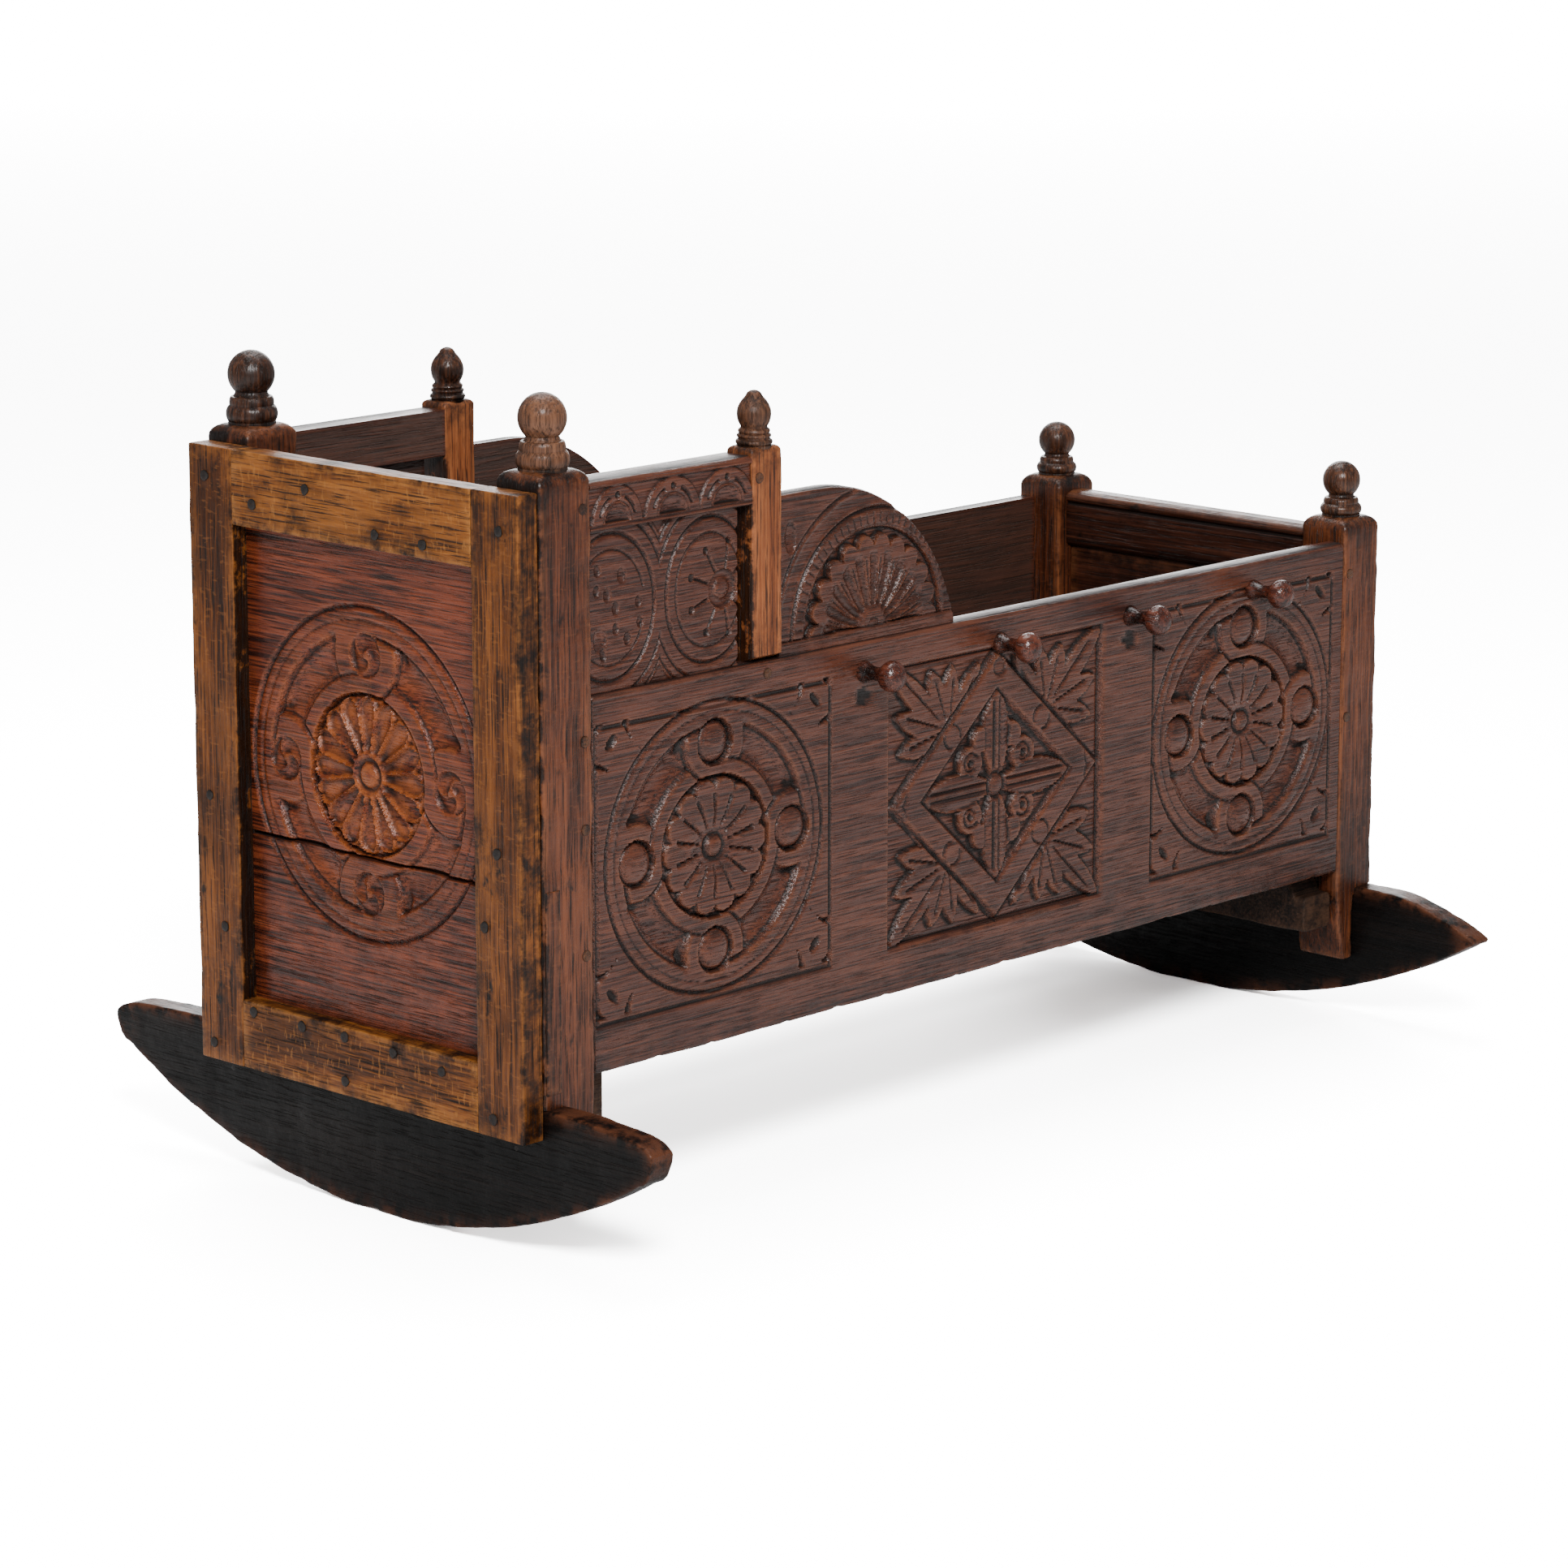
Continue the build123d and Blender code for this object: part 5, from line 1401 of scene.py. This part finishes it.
# %% Foot end
def moulded_rail(name, span, finish, seed):
    """The rail's outline, inner face first: a bead over a quirk, a flat face and a rounded top."""
    x, _, z = sizes(name)
    turn = np.linspace(-0.5, 0.5, 13) * np.pi
    bead_r, quirk = 4.0, 1.6
    inner, outer = x
    bead = [inner + bead_r - bead_r * np.cos(turn), z[1] - 1.5 - bead_r + bead_r * np.sin(turn)]
    under = z[1] - 1.5 - 2 * bead_r
    face_z = np.linspace(z[0] + 3, under - quirk * 1.6, 8)
    face = [np.full(8, inner + 0.6), face_z]
    groove = [np.array([inner + 2.6]), np.array([under - quirk * 0.7])]
    foot = [np.array([inner + 3.0, inner + 1.4]), np.array([z[0], z[0] + 1.0])]
    top = [np.linspace(inner + bead_r + 3, outer - 6, 5), np.full(5, z[1] - 0.2)]
    round_turn = np.linspace(np.pi / 2, 0, 7)
    back_top = [outer - 5 + 5 * np.cos(round_turn), z[1] - 5 + 5 * np.sin(round_turn)]
    back = [np.full(6, outer), np.linspace(z[1] - 10, z[0] + 3, 6)]
    back_foot = [np.array([outer - 0.6, outer - 3.0]), np.array([z[0] + 0.6, z[0]])]
    outline = np.concatenate([np.stack(part, axis=-1) for part in
                              (foot, face, groove, bead, top, back_top, back, back_foot)])
    y = np.linspace(*span, 45)
    middle = outline.mean(axis=0)
    shrink = 1 - 0.012 * waver(y, seed, 120) ** 2
    rings = middle + (outline[None] - middle) * shrink[:, None, None]
    points = np.stack([rings[..., 0], np.broadcast_to(y[:, None], rings.shape[:2]), rings[..., 1]], axis=-1)
    rows, columns = rings.shape[:2]
    wear = np.tile(0.9 * np.exp(-np.abs(outline[:, 1] - z[1]) / 2.5), rows)
    # The quirk groove darkened as dirt and painted shade.
    groove_dirt_and_shade = np.exp(-np.abs(outline[:, 1] - under + quirk * 0.7) / 1.2)
    cut = np.tile(groove_dirt_and_shade * (outline[:, 0] < inner + 5), rows)
    caps = [np.arange(columns), np.arange(columns) + (rows - 1) * columns]
    stain_and_shade = np.full(rows * columns, 0.25)
    return make_piece(name, points.reshape(-1, 3), grid_faces(rows, columns), caps, finish, [name],
                      cut, wear, stain_and_shade)


foot_span = (sizes("foot_post_right")[1][1], sizes("foot_post_left")[1][0])
moulded_rail("foot_top_rail", foot_span, CROSS, 70)
x, _, z = sizes("foot_bottom_rail")
timber("foot_bottom_rail", 1, x, foot_span, z, CROSS, "board_oak", ends=(0.6, 0.6), stain_and_shade=evenly(0.3), seed=72)
x, _, _ = sizes("foot_panel")
z = (sizes("foot_bottom_rail")[2][1] - 1, sizes("foot_top_rail")[2][0] + 1)
timber("foot_panel", 1, x, foot_span, z, CROSS, "board_oak", ends=(0.6, 0.6), drift=1.2, side=14, seed=74,
       stain_and_shade=lambda points: 0.25 + 0.35 * waver(points[:, 1] + points[:, 2], 75, 130))


# %% [markdown]
# ## Bottom
#
# Four boards lie lengthways on two bearers, and the outer two are notched round the posts. The
# foot bearer's ends are cut down where they run out under the side boards. Nobody waxed any of
# this, so it is dry and grey with dust.

# %% Bottom
CLEAR = 1.0  # the gap that a joiner leaves round a post
between_posts = (sizes("head_post_right")[0][1] + CLEAR, sizes("foot_post_right")[0][0] - CLEAR)
post_inner = sizes("head_post_left")[1][0] - CLEAR
STEP_AT, STEP_TOP = 150.0, 108.0  # where the foot bearer is cut down, and to what height


def round_posts(x, y, z):
    """A floor board's shape: its outer edge steps in to pass between the posts at either end."""
    clear = (x > between_posts[0]) & (x < between_posts[1])
    return [np.where(clear, edge, np.clip(edge, -post_inner, post_inner)) for edge in y], z


def stepped(y, z, x):
    """The foot bearer's shape: beyond the posts' inner faces its top is lower."""
    return [z[0], np.where(np.abs(y) > STEP_AT, STEP_TOP, z[1])], x


for number in range(1, 5):
    name = f"floor_board_{number}"
    x, y, z = sizes(name)
    timber(name, 0, (x[0] + CLEAR, x[1] - CLEAR), y, z, INNER, "inner_oak", ends=(0.8, 0.8), ease=1.2,
           pitch=5.0, shape=round_posts, side=5, dust=0.8, seed=80 + number,
           stain_and_shade=lambda points: 0.35 * waver(points[:, 0] + points[:, 1], 81, 200))
for name, shape, seed in (("floor_bearer_head", None, 86), ("floor_bearer_foot", stepped, 88)):
    timber(name, 1, *sizes(name), INNER, "inner_oak", ends=(1.5, 1.5), ease=3.0, drift=1.2, shape=shape,
           stain_and_shade=evenly(0.3), seed=seed)


# %% [markdown]
# ## Repair
#
# The lower outer corner of the right head post rotted or split long ago, and a new strip was let
# in. It is a stick of its own, a shade smaller than its recess and half a millimetre proud, with
# dirt in the joint down both sides.

# %% Repair
GAP, PROUD_OF_POST = 1.5, 0.5
x, y, z = sizes("post_repair_patch")


def joint_dirt(points):
    """Black that fades by a power of e every 1.8 mm from either side of the recess."""
    return 5.0 * np.exp(-np.min(np.abs(points[:, :1] - np.array(x)), axis=1) / 1.8)


timber("post_repair_patch", 2, (x[0] + GAP, x[1] - GAP), (y[0] - PROUD_OF_POST, y[1]), (z[0], z[1] - GAP),
       POST, "post_oak", ends=(0.8, 0.8), ease=1.0, drift=0.0, side=11, stain_and_shade=joint_dirt, seed=90)


# %% [markdown]
# ## Turnings
#
# Finials and lacing knobs came off a pole lathe: one profile, spun. A profile is a radius and a
# height at each step from one end to the other, built from quarter ellipses and arcs. The lathe
# was never quite true, so the radius swells and shrinks by a percent or two round the axis.

# %% Turnings
UNEVEN = 0.02  # how far out of true the lathe ran, as a share of the radius


def arc_profile(radius_at, height_at, wide, tall, start, stop, steps=10):
    """Points (radius, height) on an ellipse about a centre, between two angles in degrees."""
    turn = np.radians(np.linspace(start, stop, steps))
    return np.stack([radius_at + wide * np.cos(turn), height_at + tall * np.sin(turn)], axis=-1)


def turned(name, foot, axis, toward, profile, finish, nodes, spokes=48, dirt_and_shade=1.0, soot_to=8.0, seed=0):
    """A profile spun about a line through foot along an axis, towards +1 or -1 of it; black up to soot_to."""
    turn = np.linspace(0, 2 * np.pi, spokes, endpoint=False)
    rows = len(profile)
    phase = np.random.default_rng(seed).uniform(0, 6.28, 2)
    swell = 1 - UNEVEN * (0.5 + 0.25 * np.sin(2 * turn + phase[0]) + 0.25 * np.sin(3 * turn + phase[1]))
    radius = profile[:, :1] * swell
    points = np.zeros((rows, spokes, 3))
    first, second = (axis + 1) % 3, (axis + 2) % 3
    points[..., first] = foot[first] + radius * np.cos(turn)
    points[..., second] = foot[second] + radius * np.sin(turn)
    points[..., axis] = foot[axis] + toward * profile[:, 1:]
    near = np.pad(profile[:, 0], 3, mode="edge")
    level = np.mean([near[k:k + rows] for k in range(7)], axis=0)
    # Hollows of the profile darkened as dirt and painted shade, by how far they lie inside their neighbours.
    cut = np.clip((level - profile[:, 0]) * 0.22 * dirt_and_shade, 0, 0.9)
    wear = np.clip((profile[:, 0] - level) * 0.25, 0, 1)
    caps = [np.arange(spokes), np.arange(spokes) + (rows - 1) * spokes]
    blackening = 1.2 * ease_in(soot_to - profile[:, 1], 8)
    cut, wear, blackening = (np.repeat(row, spokes) for row in (cut, wear, blackening))
    return make_piece(name, points.reshape(-1, 3), grid_faces(rows, spokes), caps, finish, nodes,
                      cut, wear, blackening)


print("a quarter ellipse:", arc_profile(0, 0, 2, 1, 0, 90, 3).round(2).tolist())


# %% [markdown]
# ## Finials and knobs
#
# The corner posts end in balls, each on a bell with two beads, and the foot's are smaller. The hood
# posts end in acorns. The lacing knobs once held a cord over the baby: a thin stem that swells
# to a smooth knob, polished by fingers, with dirt left at its foot.

# %% Finials and knobs
def ball_profile(ball, ring, neck, top):
    """A bell with two beads round it, narrowing to a neck that carries a ball."""
    centre = top - ball
    rise = np.degrees(np.arccos(neck / ball))
    neck_z = centre - np.sqrt(ball**2 - neck**2)
    low, high = 0.30 * neck_z, 0.66 * neck_z
    return np.concatenate([
        [[ring - 1.6, -3.0], [ring - 1.4, 0.0]],
        arc_profile(ring - 3.2, low, 3.2, low - 0.6, -60, 62, 10),
        [[ring - 2.6, 1.95 * low]],
        arc_profile(ring - 4.7, high, 2.2, 0.22 * neck_z, -40, 66, 7),
        [[0.5 * (ring + neck) - 1.8, 0.87 * neck_z], [neck + 0.9, neck_z - 1.6], [neck + 0.5, neck_z - 0.9]],
        arc_profile(0, centre, ball, ball, -rise + 1, 88.5, 26),
    ])


ACORN_PROFILE = np.concatenate([
    [[12.4, -2.0], [12.9, 0.0]],
    arc_profile(10.6, 2.4, 2.6, 2.2, -60, 70, 8),
    [[11.4, 4.9]],
    arc_profile(9.9, 6.7, 2.4, 1.7, -50, 70, 7),
    [[11.0, 8.9], [11.5, 9.8], [11.2, 10.9], [10.2, 11.8], [9.5, 12.5]],
    arc_profile(0, 22.0, 12.2, 14.0, -38, 8, 12),
    [[11.6, 26.0], [10.4, 28.8], [8.8, 31.2], [7.0, 33.2], [5.9, 34.6], [5.3, 35.8], [4.4, 37.0],
     [2.8, 37.9], [0.6, 38.4]],
])
KNOB_PROFILE = np.concatenate([
    [[7.8, -2.0], [8.0, 0.2], [7.8, 1.6], [6.9, 3.6], [5.9, 6.0], [5.2, 8.6], [4.9, 11.2], [5.1, 14.0],
     [5.8, 16.6]],
    arc_profile(0, 27.2, 11.4, 9.8, -54, 88, 24),
])
FINIALS = (
    ("head", HEAD_POST_TOP, ball_profile(ball=17.0, ring=18.6, neck=11.4, top=51.7)),
    ("foot", FOOT_POST_TOP, ball_profile(ball=15.0, ring=16.6, neck=9.8, top=42.7)),
    ("hood", HOOD_POST_TOP, ACORN_PROFILE),
)
for side, sign in SIDES.items():
    for number, (end, height, profile) in enumerate(FINIALS):
        x, y, _ = sizes(f"{end}_post_{side}")
        finish = WORN_TURNED if side == "right" and end != "foot" else TURNED
        turned(f"{end}_finial_{side}", (sum(x) / 2, sum(y) / 2, height), 2, 1, profile, finish,
               [], seed=number + 3 * sign + 9)
    face = max(np.abs(sizes(f"side_board_{side}")[1]))
    for number in range(1, 5):
        name = f"lacing_knob_{side}_{number}"
        x, _, z = sizes(name)
        turned(name, (sum(x) / 2, sign * face, sum(z) / 2), 1, sign, KNOB_PROFILE, KNOB, [name],
               spokes=36, dirt_and_shade=0.4, soot_to=20.0, seed=number + 20)


# %% [markdown]
# ## Pegs
#
# Pegs are rived, not turned, so they are many-sided and stand a little proud of their holes. A
# stud is a small grid of rings whose radius wobbles, and all studs of a kind are one mesh. The CAD
# model says where they are: the outer end of each separate rod.

# %% Pegs
def studs(name, feet, axis, toward, radius, proud, finish, uneven, spokes=14, flat=0.5, seed=0):
    """Small domes standing on points of a face: rings that shrink as they rise, in one mesh. Each row of
    shares is a ring: its radius and height as shares of the dome's, its wear, and its dirt and painted
    shade, which are darkest at its foot."""
    draw = np.random.default_rng(seed)
    count = len(feet)
    turn = np.linspace(0, 2 * np.pi, spokes, endpoint=False)
    shares = np.array([[1.0, -2.0, 0.0, 1.0], [1.0, 0.0, 0.0, 0.9], [0.96, 0.45, 0.4, 0.2],
                       [0.78, 0.8, 0.8, 0.0], [flat, 1.0, 0.6, 0.0], [0.12, 1.0, 0.4, 0.0]])
    rows = len(shares)
    lumps = 1 + uneven * draw.uniform(-1, 1, (count, 1, spokes))
    lumps = (lumps + np.roll(lumps, 1, axis=-1)) / 2
    scale = 1 - 0.25 * uneven * draw.uniform(0, 1, (count, 1, 1))
    around = radius * shares[None, :, :1] * np.minimum(lumps, 1.0 + uneven * 0.5) * scale
    rise = np.where(shares[:, 1] > 0, proud * shares[:, 1], shares[:, 1])
    points = np.zeros((count, rows, spokes, 3))
    feet, axis, toward = (np.asarray(v) for v in (feet, axis, toward))
    for n in range(count):
        first, second = (axis[n] + 1) % 3, (axis[n] + 2) % 3
        points[n, :, :, first] = feet[n, first] + around[n] * np.cos(turn)
        points[n, :, :, second] = feet[n, second] + around[n] * np.sin(turn) * (1 if toward[n] > 0 else -1)
        points[n, :, :, axis[n]] = feet[n, axis[n]] + toward[n] * rise[:, None]
    each = rows * spokes
    quads = np.concatenate([grid_faces(rows, spokes) + n * each for n in range(count)])
    caps = [np.arange(spokes)[::-1] + n * each for n in range(count)]
    caps += [np.arange(spokes) + (rows - 1) * spokes + n * each for n in range(count)]
    wear, cut = (np.tile(np.repeat(shares[:, column], spokes), count) for column in (2, 3))
    return make_piece(name, points.reshape(-1, 3), quads, caps, finish, [name], cut, wear)


def outer_ends(node):
    """For each rod in a node: the middle of its outer end, its axis, and which way it points."""
    feet, axes, ways = [], [], []
    for low, high in separate_boxes(node):
        axis = int(np.argmax(high - low))
        middle = (low + high) / 2
        way = 1 if middle[axis] > 0 else -1
        middle[axis] = high[axis] if way > 0 else low[axis]
        feet.append(middle)
        axes.append(axis)
        ways.append(way)
    return feet, axes, ways


def drawn_back(feet, axes, ways, depth):
    """Each foot moved into the wood, against the way its rod points."""
    return [foot - np.eye(3)[axis] * way * depth for foot, axis, way in zip(feet, axes, ways)]


PEG_PROUD = 0.6
feet, axes, ways = outer_ends("joint_pegs")
studs("joint_pegs", drawn_back(feet, axes, ways, PEG_PROUD), axes, ways, 4.0, PEG_PROUD, PEG,
      uneven=0.06, flat=0.8, seed=1)


# %% [markdown]
# ## Nails
#
# Nail heads are hammered domes, no two alike. Those in the head frame stand well out. The floor's
# nails are driven from above, so theirs sit on the boards' upper faces.

# %% Nails
FRAME_HEAD, NAIL_HEAD = 1.5, 0.8  # how tall the heads are
feet, axes, ways = outer_ends("frame_nails")
feet = drawn_back(feet, axes, ways, FRAME_HEAD)
studs("frame_nails", feet, axes, ways, 4.0, FRAME_HEAD - 0.2, IRON, uneven=0.16, seed=2)
for name, radius, seed in (("board_nails", 2.0, 3), ("rocker_nails", 3.2, 4), ("floor_nails", 3.0, 5)):
    feet, axes, ways = outer_ends(name)
    if name == "floor_nails":
        floor_top = sizes("floor_board_2")[2][1]
        feet = [np.array([foot[0], foot[1], floor_top - 0.6]) for foot in feet]
        ways = [1] * len(feet)
    else:
        feet = drawn_back(feet, axes, ways, NAIL_HEAD + 0.1)
    studs(name, feet, axes, ways, radius, NAIL_HEAD, IRON, uneven=0.14, seed=seed)
